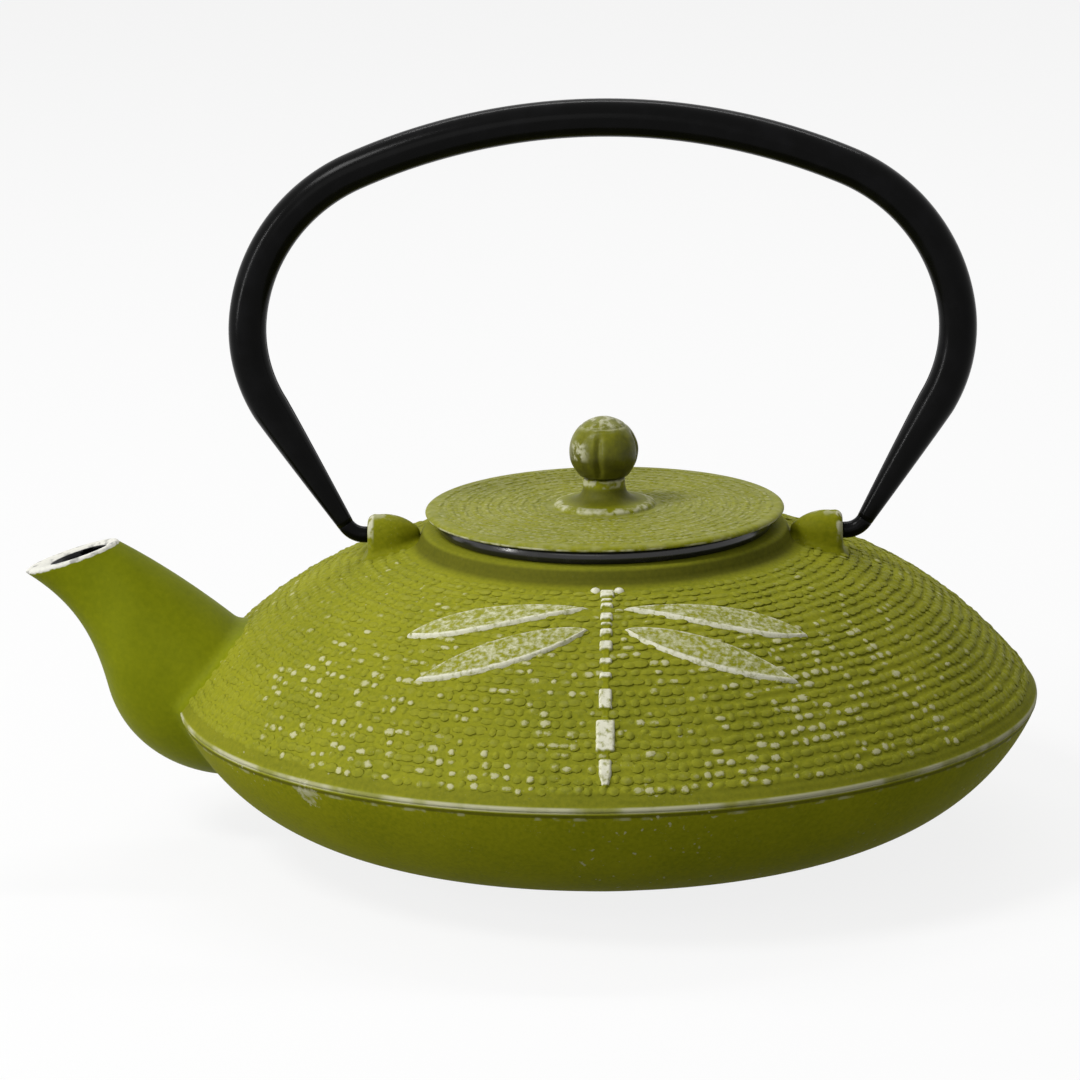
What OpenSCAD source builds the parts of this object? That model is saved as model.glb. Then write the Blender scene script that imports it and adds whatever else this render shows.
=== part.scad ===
/* [Pot] */
// Radius of the pot at its widest edge, the ridge
ridge_r = 89; // [84:0.5:94]
// Height of the ridge above the table
ridge_z = 30; // [27:0.5:33]
// Radius of the arc that shapes the shoulder above the ridge
shoulder_arc_r = 75; // [70:0.5:95]
// Radius of the arc that shapes the bowl below the ridge
bowl_arc_r = 43; // [38:0.5:47]
// Thickness of the cast iron wall
pot_wall = 3.2; // [2.6:0.1:4]
// Thickness of the black enamel inside the pot and under the lid
enamel_t = 0.3; // [0.2:0.05:0.4]

/* [Foot] */
// Outer radius of the foot ring where it stands
foot_r = 43; // [38:0.5:48]
// Width of the foot ring where it stands
foot_w = 4.5; // [3:0.5:7]
// Height of the foot ring
foot_h = 4.2; // [3:0.1:5.5]

/* [Neck] */
// Outer radius of the neck where it leaves the shoulder
neck_r = 38.4; // [36.5:0.1:40]
// Height where the neck leaves the shoulder
neck_base_z = 62.8; // [60:0.2:64]
// Height of the neck above the shoulder
neck_h = 2.8; // [2.2:0.1:4]
// How much the neck narrows towards its top
neck_taper = 0.6; // [0.2:0.1:1]
// Size of the bevel around the top of the neck
neck_bevel = 0.6; // [0.3:0.1:0.8]
// Radius of the opening in the neck
mouth_r = 30.5; // [28:0.1:32]
// Depth of the recess that takes the infuser's rim
seat_depth = 0.9; // [0.7:0.1:1.4]
// Width of the ledge in that recess
seat_w = 1.7; // [1.2:0.1:2]

/* [Spout] */
// Distance from the pot's axis to the tip of the spout
spout_reach = 120.3; // [116:0.5:124]
// Height of the spout's tip above the table
spout_tip_z = 57; // [54:0.5:60]
// Width of the spout where it leaves the pot
spout_root_w = 33; // [28:0.5:36]
// Width of the spout at its lip
spout_lip_w = 12.8; // [11:0.2:15]
// Thickness of the spout's wall
spout_wall = 2.6; // [2.2:0.1:3]
// Thickness of the spout's wall at the lip
lip_wall = 2; // [1.6:0.1:2.4]
// Radius of the pouring hole through the pot's wall
port_r = 7.5; // [5:0.1:8.5]
// Height of the pouring hole's centre above the ridge
port_rise = 9; // [8.8:0.1:11]

/* [Lugs] */
// Distance from the pot's axis to the outer face of a lug
lug_face_x = 49; // [48:0.1:52]
// Radius of a lug at its crest
lug_r = 4.2; // [3.6:0.1:4.6]
// Length of a lug from its face to its nose
lug_len = 10.8; // [10:0.1:11]
// Radius of the round nose of a lug
lug_nose_r = 2.2; // [1.6:0.1:2.4]
// Distance from a lug's face to its crest
lug_crest = 3.4; // [2.6:0.1:4]
// Radius of the rounded edge of a lug's face
lug_edge_r = 1.6; // [1:0.1:2]
// Height of the handle's pivot line
pivot_z = 64.2; // [63.6:0.1:65.6]
// Depth of the pivot hole in a lug
pivot_hole_depth = 6.4; // [5:0.1:7]

/* [Dragonfly] */
// How far the dragonfly stands out from the shoulder
relief_h = 0.9; // [0.6:0.1:1.4]
// Half width of the dragonfly's tail
tail_half_w = 1.3; // [1:0.1:1.8]
// Distance from the pot's axis to the dragonfly's eyes
eyes_y = 41.4; // [41:0.1:43]
// Gap between the end of the tail and the ridge
tail_gap = 2.7; // [2:0.1:6]
// Width of the dragonfly across its upper wings
wing_span = 79.6; // [66:0.2:84]
// How far the dragonfly sits to the side of the pot's middle line
fly_shift = 1.2; // [-2:0.1:2]

/* [Lid] */
// Radius of the lid
lid_r = 37; // [36.4:0.1:38]
// Thickness of the lid at its edge
lid_edge_t = 1.1; // [1:0.1:2.2]
// Radius of the rounding around the lid's upper edge
lid_round = 0.6; // [0.2:0.1:0.6]
// Rise of the lid's top from its edge to its middle
lid_crown = 0.1; // [0.1:0.1:1.5]
// Radius of the black step under the lid
step_r = 34.7; // [33.8:0.1:35.2]
// Height of the black step
step_h = 3.1; // [2.2:0.1:3.6]
// Radius of the skirt that reaches into the infuser
skirt_r = 26.9; // [24:0.1:27.5]
// Thickness of the skirt's iron
skirt_t = 2; // [1.6:0.1:3]
// Length of the skirt below the step
skirt_len = 7.6; // [5:0.1:10]
// Radius of the boss's foot on the lid
boss_r = 10.5; // [9:0.1:12]
// Radius of the boss's neck
boss_neck_r = 4.3; // [3.8:0.1:4.8]
// Height of the boss above the lid
boss_h = 4.5; // [4:0.1:6]

/* [Knob] */
// Radius of the knob's ball
ball_r = 7.1; // [6:0.1:8]
// Radius of the narrow joint below the ball
joint_r = 3.5; // [3:0.1:3.7]
// Height of that joint
joint_h = 0.6; // [0.4:0.1:1]
// Number of grooves down the ball
groove_count = 4; // [2:1:6]
// Depth of a groove
groove_depth = 0.5; // [0.3:0.1:0.8]
// Radius of the screw's shank
screw_r = 1.9; // [1.5:0.1:2.1]
// Radius of the screw's head
screw_head_r = 3.6; // [3:0.1:4.2]
// Height of the screw's head
screw_head_h = 1.8; // [1.4:0.1:2.2]
// Radius of the washer under the screw's head
washer_r = 5; // [4.4:0.1:6]
// Thickness of that washer
washer_t = 0.8; // [0.6:0.1:1.2]

/* [Handle] */
// Height of the middle of the tube at the top of the handle
handle_top_z = 150.6; // [145:0.1:158]
// Radius of the rolled tube
tube_r = 3.9; // [3.4:0.1:4.4]
// Thickness of the tube's sheet
tube_wall = 0.8; // [0.6:0.1:1]
// Width of the seam where the sheet's edges meet
seam_w = 0.6; // [0.4:0.1:1]
// Angle that half of the top arc turns
top_turn = 23.5; // [20:0.5:27]
// Radius of the handle's upper corners
corner_r = 37.5; // [34:0.5:41]
// Angle that an upper corner turns
corner_turn = 58.5; // [55:0.5:62]
// Radius of the handle's sides
side_r = 30.6; // [28:0.2:33]
// Angle that a side turns
side_turn = 39; // [37:0.5:41]
// Radius of the hook's rod
rod_r = 1.7; // [1.6:0.05:1.8]
// Radius of the pin at the hook's end, which turns in the lug
pin_r = 1.5; // [1.3:0.05:1.55]
// Radius of the bend that leads into the lug, along the rod's middle
hook_bend_r = 4.7; // [4:0.1:6]
// Gap between a lug's face and the start of that bend
hook_gap = 0.6; // [0.4:0.1:2]

/* [Infuser] */
// Radius of the infuser's mesh wall
infuser_r = 28.6; // [27.8:0.1:29]
// Thickness of the mesh
mesh_t = 0.5; // [0.4:0.1:0.8]
// Depth of the infuser below its rim
infuser_depth = 43; // [36:0.5:45]
// Thickness of the rim's sheet
rim_t = 0.6; // [0.4:0.1:0.8]
// Depth of the plain collar below the rim
rim_collar_h = 5; // [3:0.5:8]
// Height of the band around the infuser's base
band_h = 3; // [2:0.5:6]
// Thickness of the collar and of the band
band_t = 0.5; // [0.3:0.1:0.6]

/* [Fits] */
// Gap between surfaces that rest on each other
rest_gap = 0.1; // [0.05:0.05:0.2]
// Gap all round a piece that drops into a recess
drop_gap = 0.3; // [0.2:0.05:0.5]
// Running gap around the hooks in the lugs
pin_gap = 0.1; // [0.06:0.01:0.1]

/* [Hidden] */
$fn = 96;
cut = 1;          // how far a cutting shape runs past what it cuts
room = 200;       // a length larger than the whole pot

green = [0.47, 0.49, 0.10];
enamel_black = [0.05, 0.05, 0.05];
gloss_black = [0.08, 0.08, 0.09];
worn_cream = [0.80, 0.79, 0.68];
steel = [0.75, 0.75, 0.76];

// --- pot: places worked out from the sizes above ---
neck_top_z = neck_base_z + neck_h;
seat_z = neck_top_z - seat_depth;
seat_r = mouth_r + seat_w;

// Middle of the circle of radius r through points a and b, on the side nearer the pot's axis
function arc_middle(a, b, r) =
    let (half = (b - a) / 2, len = norm(half), side = [half.y, -half.x] / len)
    (a + b) / 2 + side * sqrt(r * r - len * len);

shoulder_mid = arc_middle([neck_r, neck_base_z], [ridge_r, ridge_z + 0.6], shoulder_arc_r);
bowl_mid_z = foot_h + bowl_arc_r;
bowl_mid_r = ridge_r - sqrt(pow(bowl_arc_r, 2) - pow(bowl_mid_z - ridge_z + 0.4, 2));

// --- spout: side view outline, from inside the pot to the lip ---
// Points are shares of the spout's own length and height, measured from the foot of its root.
// The lower edge is two curves, joined where it stands upright
root_x = ridge_r - 21;
root_z = ridge_z - 15.5;
function spout_point(share) = [-root_x - share.x * (spout_reach - root_x),
                               root_z + share.y * (spout_tip_z - root_z)];
spout_top = [for (p = [[0, 0.553], [0.191, 0.788], [0.402, 0.988], [0.627, 1.146]]) spout_point(p)];
spout_low = [for (p = [[0, 0], [0.344, -0.096], [0.618, 0.092], [0.684, 0.412]]) spout_point(p)];
spout_lip = [for (p = [[0.684, 0.412], [0.730, 0.647], [0.793, 0.835], [1, 1]]) spout_point(p)];
upright_u = 0.55;      // share of the spout's length at which its lower edge stands upright
spout_rings = 20;
spout_sides = 32;

function curve(p, t) =
    pow(1 - t, 3) * p[0] + 3 * pow(1 - t, 2) * t * p[1]
    + 3 * (1 - t) * t * t * p[2] + pow(t, 3) * p[3];
function upper_edge(u) = curve(spout_top, u * (2 - u));
function lower_edge(u) =
    u < upright_u ? curve(spout_low, u / upright_u)
                  : curve(spout_lip, (u - upright_u) / (1 - upright_u));
function half_width(u) =
    curve([spout_root_w, spout_root_w, spout_lip_w + 1.6, spout_lip_w] / 2, u);

// --- handle: middle line of the tube in its own plane ---
// A heading is the angle turned since the top of the handle, clockwise
side_start = top_turn + corner_turn;
arm_heading = side_start + side_turn;
hook_x = lug_face_x + hook_gap;
corner_run = corner_r * [sin(side_start) - sin(top_turn), cos(side_start) - cos(top_turn)];
side_run = side_r * [sin(arm_heading) - sin(side_start), cos(arm_heading) - cos(side_start)];
arm_end_z = pivot_z + hook_bend_r * (1 + cos(arm_heading));
arm_slope = cos(arm_heading) / sin(arm_heading);
// The top arc's radius is the one that brings the hooks to the lugs
top_r = (hook_x + hook_bend_r * sin(arm_heading) - corner_run.x - side_run.x
         - arm_slope * (handle_top_z + corner_run.y + side_run.y - arm_end_z))
        / (sin(top_turn) - arm_slope * (1 - cos(top_turn)));
corner_start = [top_r * sin(top_turn), handle_top_z - top_r * (1 - cos(top_turn))];
side_begin = corner_start + corner_run;
arm_start = side_begin + side_run;
arm_len = (arm_start.y - arm_end_z) / sin(arm_heading);
arm_end = arm_start + arm_len * [cos(arm_heading), -sin(arm_heading)];
arm_end_r = rod_r + 0.25;
pin_tip_x = lug_face_x - pivot_hole_depth + 0.8;
plug_r = pin_r;
plug_len = 5;          // length of rod held inside the tube's end

// --- lid and infuser: heights ---
lid_seat_z = neck_top_z + rest_gap;
lid_low_z = lid_seat_z + step_h;
lid_edge_z = lid_low_z + lid_edge_t;
lid_mid_z = lid_edge_z + lid_crown;
boss_top_z = lid_mid_z + boss_h;
lid_ceiling_z = lid_low_z - 0.6;      // underside of the iron, inside the skirt
ball_z = boss_top_z + joint_h + ball_r * 0.9;
screw_top_z = ball_z;
infuser_rim_z = seat_z + rest_gap;
infuser_base_z = infuser_rim_z - infuser_depth;

// --- lug: from its crest a long arc runs down to the small arc of the nose, and they meet smoothly ---
nose_run = lug_len - lug_nose_r - lug_crest;
side_arc_r = (nose_run * nose_run + lug_r * lug_r - lug_nose_r * lug_nose_r)
             / (2 * (lug_r - lug_nose_r));
nose_turn = atan2(nose_run, side_arc_r - lug_r);

// ---------- outlines in the radius and height plane ----------

// All that lies inside the bowl's arc, moved in by inset, below the ridge
module bowl_zone(inset) {
    intersection() {
        union() {
            translate([bowl_mid_r, bowl_mid_z]) circle(r = bowl_arc_r - inset, $fn = 180);
            translate([0, foot_h + inset]) square([bowl_mid_r, room]);
        }
        square([ridge_r - inset * 0.5, ridge_z]);
    }
}

// All that lies inside the shoulder's arc, moved in by inset, above the ridge
module shoulder_zone(inset) {
    intersection() {
        translate(shoulder_mid) circle(r = shoulder_arc_r - inset, $fn = 180);
        translate([0, ridge_z]) square([ridge_r - inset * 0.5, room]);
    }
}

module neck_outline() {
    top_r = neck_r - neck_taper;
    polygon([
        [0, neck_base_z - 2], [neck_r, neck_base_z - 2], [neck_r, neck_base_z],
        [top_r, neck_top_z - neck_bevel], [top_r - neck_bevel, neck_top_z], [0, neck_top_z]
    ]);
}

module foot_outline() {
    polygon([
        [foot_r - foot_w, 0], [foot_r, 0], [foot_r + 2.2, foot_h + 0.4], [foot_r - foot_w - 0.8, foot_h + 0.4]
    ]);
}

// Space inside the pot, moved in by inset
module hollow_outline(inset) {
    bowl_zone(pot_wall + inset);
    shoulder_zone(pot_wall + inset);
    translate([0, ridge_z - cut]) square([mouth_r - inset, seat_z - ridge_z + cut]);
}

module pouring_hole() {
    translate([0, 0, ridge_z + port_rise])
        rotate([0, -90, 0]) cylinder(r = port_r, h = ridge_r);
}

// Filled shape of the pot, for pieces that are cast onto it
module pot_envelope() {
    rotate_extrude($fn = 120) {
        bowl_zone(0);
        shoulder_zone(0);
    }
}

// ---------- pot ----------

module pot_bowl() {
    color(green)
        rotate_extrude($fn = 180)
            difference() {
                union() {
                    bowl_zone(0);
                    foot_outline();
                }
                hollow_outline(0);
            }
}

module pot_shoulder() {
    color(green)
        difference() {
            rotate_extrude($fn = 180)
                difference() {
                    union() {
                        shoulder_zone(0);
                        neck_outline();
                    }
                    shoulder_zone(pot_wall);
                    translate([0, ridge_z - cut]) square([mouth_r, room]);
                    translate([0, seat_z]) square([seat_r, room]);
                }
            pouring_hole();
        }
}

module pot_enamel() {
    color(enamel_black)
        difference() {
            rotate_extrude($fn = 180)
                difference() {
                    hollow_outline(0);
                    hollow_outline(enamel_t);
                    translate([0, ridge_z]) square([mouth_r - enamel_t, room]);
                }
            pouring_hole();
        }
}

// ---------- spout ----------

// One closed ring of the spout at share u of its length, moved in by inset and out by reach
function spout_ring(u, inset, reach = 0) =
    let (hi = upper_edge(u), lo = lower_edge(u), span = hi - lo, half = norm(span) / 2,
         up = span / norm(span), out = [-up.y, up.x], mid = (hi + lo) / 2 + reach * out)
    [for (i = [0:spout_sides - 1])
        let (a = 360 * i / spout_sides, p = mid + (half - inset) * cos(a) * up)
        [p.x, (half_width(u) - inset) * sin(a), p.y]];

// Closed solid through a list of rings
module loft(rings) {
    n = len(rings[0]);
    last = (len(rings) - 1) * n;
    polyhedron(
        points = [for (r = rings) each r],
        faces = concat(
            [for (i = [1:n - 2]) [0, i, i + 1]],
            [for (i = [1:n - 2]) [last, last + i + 1, last + i]],
            [for (k = [0:len(rings) - 2], i = [0:n - 1])
                let (j = (i + 1) % n, a = k * n, b = a + n)
                each [[a + i, b + i, a + j], [a + j, b + i, b + j]]]
        ),
        convexity = 6
    );
}

module spout_channel() {
    lip_start = 0.9;
    loft(concat(
        [spout_ring(0, spout_wall, -cut)],
        [for (k = [0:spout_rings]) let (u = lip_start * k / spout_rings) spout_ring(u, spout_wall)],
        [spout_ring(0.97, (spout_wall + lip_wall) / 2), spout_ring(1, lip_wall),
         spout_ring(1, lip_wall, cut)]
    ));
}

module spout() {
    color(green)
        difference() {
            loft([for (k = [0:spout_rings]) spout_ring(k / spout_rings, 0)]);
            spout_channel();
            pot_envelope();
        }
}

// ---------- lugs ----------

// Half of a lug's outline: x runs from its face to its nose, y from its axis outward
module lug_half() {
    polygon(concat(
        [[0, 0]],
        arc_points([lug_edge_r, lug_r - lug_edge_r], lug_edge_r, 180, 90, 6),
        arc_points([lug_crest, lug_r - side_arc_r], side_arc_r, 90, 90 - nose_turn, 10),
        arc_points([lug_crest + nose_run, 0], lug_nose_r, 80 - nose_turn, 0, 7)
    ));
}

// A lug on the +X side, blended straight down to the shoulder
module lug() {
    color(green)
        difference() {
            union() {
                translate([lug_face_x, 0, pivot_z])
                    rotate([0, -90, 0]) rotate_extrude() mirror([1, -1]) lug_half();
                translate([lug_face_x, 0, pivot_z - lug_r * 2])
                    linear_extrude(lug_r * 2) {
                        mirror([1, 0]) lug_half();
                        mirror([1, 0]) mirror([0, 1]) lug_half();
                    }
            }
            translate([lug_face_x + cut, 0, pivot_z])
                rotate([0, -90, 0]) cylinder(r = pin_r + pin_gap, h = pivot_hole_depth + cut);
            pot_envelope();
            cylinder(r = neck_r + 0.1, h = room);
        }
}

module lug_front() {
    mirror([1, 0, 0]) lug();
}

module lug_rear() {
    lug();
}

// ---------- dragonfly in relief on the front of the shoulder ----------

// Skin over the shoulder in which the relief lies
module relief_skin() {
    rotate_extrude($fn = 180)
        difference() {
            shoulder_zone(-relief_h);
            shoulder_zone(0);
        }
}

// The dragonfly seen from above: x is a share of half its span, y a share of its length from the eyes
tail_end_y = ridge_r - tail_gap;
body_len = tail_end_y - eyes_y;
function insect(share) = [share.x * wing_span / 2, -eyes_y - share.y * body_len];
upper_wing = [[[0.075, 0.165], [0.30, 0.094], [0.80, 0.027], [1, 0.149]],
              [[0.075, 0.165], [0.352, 0.227], [0.779, 0.307], [1, 0.149]]];
lower_wing = [[[0.085, 0.316], [0.176, 0.249], [0.704, 0.330], [0.95, 0.432]],
              [[0.085, 0.316], [0.251, 0.472], [0.628, 0.552], [0.95, 0.432]]];
wing_steps = 12;

module wing(edges) {
    polygon(concat(
        [for (k = [0:wing_steps]) insect(curve(edges[0], k / wing_steps))],
        [for (k = [wing_steps - 1:-1:1]) insect(curve(edges[1], k / wing_steps))]
    ));
}

module dragonfly_wings() {
    color(worn_cream)
        intersection() {
            relief_skin();
            for (side = [0, 1]) translate([fly_shift, 0, ridge_z]) mirror([side, 0, 0])
                linear_extrude(room) {
                    wing(upper_wing);
                    wing(lower_wing);
                }
        }
}

// Stretch of the body between two shares of its length
module segment(half_w, from, to) {
    translate([-half_w, -eyes_y - to * body_len]) square([2 * half_w, (to - from) * body_len]);
}

module dragonfly_body() {
    color(worn_cream)
        intersection() {
            relief_skin();
            translate([fly_shift, 0, ridge_z]) linear_extrude(room) {
                segment(tail_half_w, 0, 1);
                segment(tail_half_w * 1.4, 0, 0.08);
                segment(tail_half_w * 1.55, 0.775, 0.869);
                for (side = [-1, 1])
                    translate([side * tail_half_w * 1.8, -eyes_y]) circle(r = tail_half_w * 0.9, $fn = 32);
            }
        }
}

// ---------- lid ----------

// Step and skirt below the lid, grown by the enamel's thickness g
module lid_underside(g) {
    iron_step_r = step_r - enamel_t;
    iron_skirt_r = skirt_r - enamel_t;
    iron_low_z = lid_seat_z + enamel_t;
    skirt_low_z = lid_seat_z - skirt_len + enamel_t;
    difference() {
        union() {
            translate([0, iron_low_z - g]) square([iron_step_r + g, lid_low_z - iron_low_z + g]);
            translate([0, skirt_low_z - g]) square([iron_skirt_r + g, lid_low_z - skirt_low_z]);
        }
        translate([0, skirt_low_z - g - cut])
            square([iron_skirt_r - skirt_t - g, lid_ceiling_z - skirt_low_z + cut]);
    }
}

// Points along an arc about a middle point, from angle a to angle b
function arc_points(mid, r, a, b, n) =
    [for (k = [0:n]) let (t = a + (b - a) * k / n) mid + r * [cos(t), sin(t)]];

// Top of the lid: a low crown, then the boss with a rounded foot and a hollow sweep to its neck
module lid_top_outline() {
    crown_r = (lid_r * lid_r + lid_crown * lid_crown) / (2 * lid_crown);
    edge_turn = asin((lid_r - lid_round) / crown_r);
    round_z = lid_mid_z - crown_r * (1 - cos(edge_turn)) - lid_round;
    foot_turn = asin(boss_r / crown_r);
    foot = 1.1;
    sweep_r = boss_r - boss_neck_r - foot;
    polygon(concat(
        [[0, lid_ceiling_z], [step_r - enamel_t, lid_ceiling_z], [step_r - enamel_t, lid_low_z],
         [lid_r - 0.4, lid_low_z], [lid_r, lid_low_z + 0.4]],
        arc_points([lid_r - lid_round, round_z], lid_round, 0, 84, 5),
        arc_points([0, lid_mid_z - crown_r], crown_r, 90 - edge_turn, 90 - foot_turn, 8),
        arc_points([boss_r - foot, lid_mid_z], foot, 10, 80, 5),
        arc_points([boss_neck_r + sweep_r, lid_mid_z + foot + sweep_r], sweep_r, 262, 184, 8),
        [[boss_neck_r, boss_top_z], [0, boss_top_z]]
    ));
}

module lid_casting() {
    color(green)
        difference() {
            rotate_extrude($fn = 180)
                union() {
                    lid_top_outline();
                    lid_underside(0);
                }
            translate([0, 0, lid_ceiling_z - cut]) cylinder(r = screw_r, h = room);
        }
}

module lid_enamel() {
    color(enamel_black)
        difference() {
            rotate_extrude($fn = 180)
                difference() {
                    union() {
                        lid_underside(enamel_t);
                        translate([0, lid_ceiling_z - enamel_t])
                            square([skirt_r - skirt_t, enamel_t]);
                    }
                    lid_underside(0);
                    translate([0, lid_ceiling_z]) square([step_r - enamel_t, room]);
                }
            translate([0, 0, lid_ceiling_z - room / 2]) cylinder(r = screw_r, h = room);
        }
}

// ---------- knob ----------

module knob() {
    taper_z = boss_top_z + joint_h;
    color(green)
        difference() {
            union() {
                translate([0, 0, boss_top_z]) cylinder(r = joint_r, h = joint_h + 0.2);
                translate([0, 0, taper_z]) cylinder(r1 = boss_neck_r, r2 = ball_r * 0.86, h = ball_r * 0.4);
                translate([0, 0, ball_z]) sphere(r = ball_r);
            }
            for (k = [0:groove_count - 1])
                rotate([0, 0, -98 + 360 * k / groove_count])
                    translate([ball_r + 0.4, 0, ball_z]) rotate([0, 0, 45])
                        cube([groove_depth + 0.6, groove_depth + 0.6, ball_r * 1.2], center = true);
            translate([0, 0, boss_top_z - cut]) cylinder(r = screw_r, h = screw_top_z - boss_top_z + cut);
        }
}

module knob_washer() {
    color(steel)
        translate([0, 0, lid_ceiling_z - enamel_t - washer_t])
            difference() {
                cylinder(r = washer_r, h = washer_t);
                translate([0, 0, -cut]) cylinder(r = screw_r, h = washer_t + 2 * cut);
            }
}

module knob_screw() {
    head_z = lid_ceiling_z - enamel_t - washer_t - screw_head_h;
    slot_w = 0.9;
    color(steel)
        difference() {
            translate([0, 0, head_z]) {
                cylinder(r = screw_head_r, h = screw_head_h);
                cylinder(r = screw_r, h = screw_top_z - head_z);
            }
            translate([-screw_head_r - cut, -slot_w / 2, head_z - cut])
                cube([2 * (screw_head_r + cut), slot_w, cut + screw_head_h * 0.5]);
        }
}

// ---------- handle ----------

// Point of the tube's middle line, in the handle's plane, at heading h on an arc
function on_arc(p, r, a, h) = p + r * [sin(h) - sin(a), cos(h) - cos(a)];

// Stations along one half of the tube: place, heading, outer radius, inner radius
function arc_stations(p, r, a, b, n) =
    [for (k = [0:n - 1]) let (h = a + (b - a) * k / n)
        [on_arc(p, r, a, h), h, tube_r, tube_r - tube_wall]];
half_tube = concat(
    arc_stations([0, handle_top_z], top_r, 0, top_turn, 5),
    arc_stations(corner_start, corner_r, top_turn, side_start, 10),
    arc_stations(side_begin, side_r, side_start, arm_heading, 7),
    [for (k = [0:5]) let (t = k / 5)
        [arm_start + (arm_end - arm_start) * t, arm_heading,
         tube_r + (arm_end_r - tube_r) * t, tube_r - tube_wall + (plug_r + 0.15 - tube_r + tube_wall) * t]]
);
tube_sides = 28;
seam_angle = asin(seam_w / 2 / tube_r);

// One cross section: outside of the sheet from seam edge to seam edge, then its inside
function sheet_ring(place, heading, outer, inner) =
    let (out = [sin(heading), 0, cos(heading)])
    [for (r = [outer, inner], i = [0:tube_sides])
        let (a = 180 + seam_angle + (360 - 2 * seam_angle) * i / tube_sides)
        [place.x, 0, place.y] + r * cos(a) * out + [0, r * sin(a), 0]];

// Rolled sheet through a list of stations; the seam faces the inside of the handle
module rolled_sheet(stations) {
    n = tube_sides + 1;
    ring = 2 * n;
    last = (len(stations) - 1) * ring;
    rim = concat([for (i = [0:n - 1]) i], [for (i = [n - 1:-1:0]) n + i]);
    polyhedron(
        points = [for (s = stations) each sheet_ring(s[0], s[1], s[2], s[3])],
        faces = concat(
            [for (i = [0:n - 2]) each [[i, n + i, i + 1], [i + 1, n + i, n + i + 1]]],
            [for (i = [0:n - 2]) let (j = last + i)
                each [[j, j + 1, j + n], [j + 1, j + n + 1, j + n]]],
            [for (k = [0:len(stations) - 2], m = [0:ring - 1])
                let (a = k * ring + rim[m], b = k * ring + rim[(m + 1) % ring])
                each [[a, b, a + ring], [b, b + ring, a + ring]]]
        ),
        convexity = 8
    );
}

module handle_tube() {
    other_half = [for (i = [len(half_tube) - 1:-1:1]) let (s = half_tube[i])
        [[-s[0].x, s[0].y], -s[1], s[2], s[3]]];
    color(gloss_black) rolled_sheet(concat(other_half, half_tube));
}

// Hook on the +X side: a plug in the tube's end, the bent rod, and the pin in the lug
module hook() {
    color(gloss_black) {
        translate([arm_end.x, 0, arm_end.y])
            rotate([0, 90 + arm_heading, 0])
                translate([0, 0, -plug_len]) cylinder(r = plug_r, h = plug_len + 0.4, $fn = 48);
        translate([hook_x, 0, pivot_z + hook_bend_r])
            rotate([90, 0, 0]) rotate([0, 0, -90])
                rotate_extrude(angle = 180 - arm_heading, $fn = 96)
                    translate([hook_bend_r, 0]) circle(r = rod_r, $fn = 48);
        translate([pin_tip_x, 0, pivot_z])
            rotate([0, 90, 0]) cylinder(r = pin_r, h = hook_x + 0.4 - pin_tip_x, $fn = 48);
    }
}

module handle_hook_front() {
    mirror([1, 0, 0]) hook();
}

module handle_hook_rear() {
    hook();
}

// ---------- infuser ----------

module ring(outer, inner, z, h) {
    translate([0, 0, z])
        difference() {
            cylinder(r = outer, h = h);
            translate([0, 0, -cut]) cylinder(r = inner, h = h + 2 * cut);
        }
}

module infuser_rim() {
    color(steel)
        rotate_extrude($fn = 180) {
            translate([infuser_r, infuser_rim_z]) square([seat_r - drop_gap - infuser_r, rim_t]);
            translate([infuser_r, infuser_rim_z - rim_collar_h]) square([band_t, rim_collar_h + rim_t]);
        }
}

module infuser_wall() {
    color(steel) ring(infuser_r, infuser_r - mesh_t, infuser_base_z, infuser_depth + rim_t);
}

module infuser_floor() {
    color(steel)
        translate([0, 0, infuser_base_z]) cylinder(r = infuser_r - mesh_t, h = mesh_t);
}

module infuser_base_band() {
    color(steel) ring(infuser_r + band_t, infuser_r, infuser_base_z, band_h);
}

pot_bowl();
pot_shoulder();
pot_enamel();
spout();
lug_front();
lug_rear();
dragonfly_body();
dragonfly_wings();
lid_casting();
lid_enamel();
knob();
knob_washer();
knob_screw();
handle_tube();
handle_hook_front();
handle_hook_rear();
infuser_rim();
infuser_wall();
infuser_floor();
infuser_base_band();
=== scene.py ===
# %% [markdown]
# # Cast iron teapot
# A low, round iron teapot: a pot cast in one piece with its spout and two lugs, a lift-off lid
# with a ball knob, a steel infuser that drops into the neck, and a bail rolled from steel sheet
# that swings on two hooks. The solids come packed as a frame; this lesson gives them their looks.
# Points of meshes are in millimetres, and one helper turns them into metres when a mesh is made.
# Inputs of the Geometry Nodes trees, the floor and the lamps are in metres from the start.

# %% Load the frame
import collections
import math
import bmesh
import bpy
import numpy as np
from mathutils import Matrix, Vector


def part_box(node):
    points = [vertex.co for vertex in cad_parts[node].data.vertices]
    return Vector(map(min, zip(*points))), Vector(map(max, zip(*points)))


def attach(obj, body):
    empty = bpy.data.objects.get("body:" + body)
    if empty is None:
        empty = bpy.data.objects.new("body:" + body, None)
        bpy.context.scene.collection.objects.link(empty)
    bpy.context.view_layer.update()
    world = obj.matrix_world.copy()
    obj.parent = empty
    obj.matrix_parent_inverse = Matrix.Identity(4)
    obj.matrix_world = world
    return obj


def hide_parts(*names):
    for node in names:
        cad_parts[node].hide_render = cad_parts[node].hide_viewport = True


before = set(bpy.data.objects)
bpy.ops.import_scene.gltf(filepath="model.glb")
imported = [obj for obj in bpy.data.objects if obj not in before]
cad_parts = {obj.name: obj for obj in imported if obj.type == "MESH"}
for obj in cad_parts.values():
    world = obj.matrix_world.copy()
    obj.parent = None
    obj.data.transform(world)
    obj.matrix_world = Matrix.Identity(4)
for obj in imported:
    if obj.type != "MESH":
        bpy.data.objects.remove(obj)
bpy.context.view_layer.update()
MM = 0.001

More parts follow.
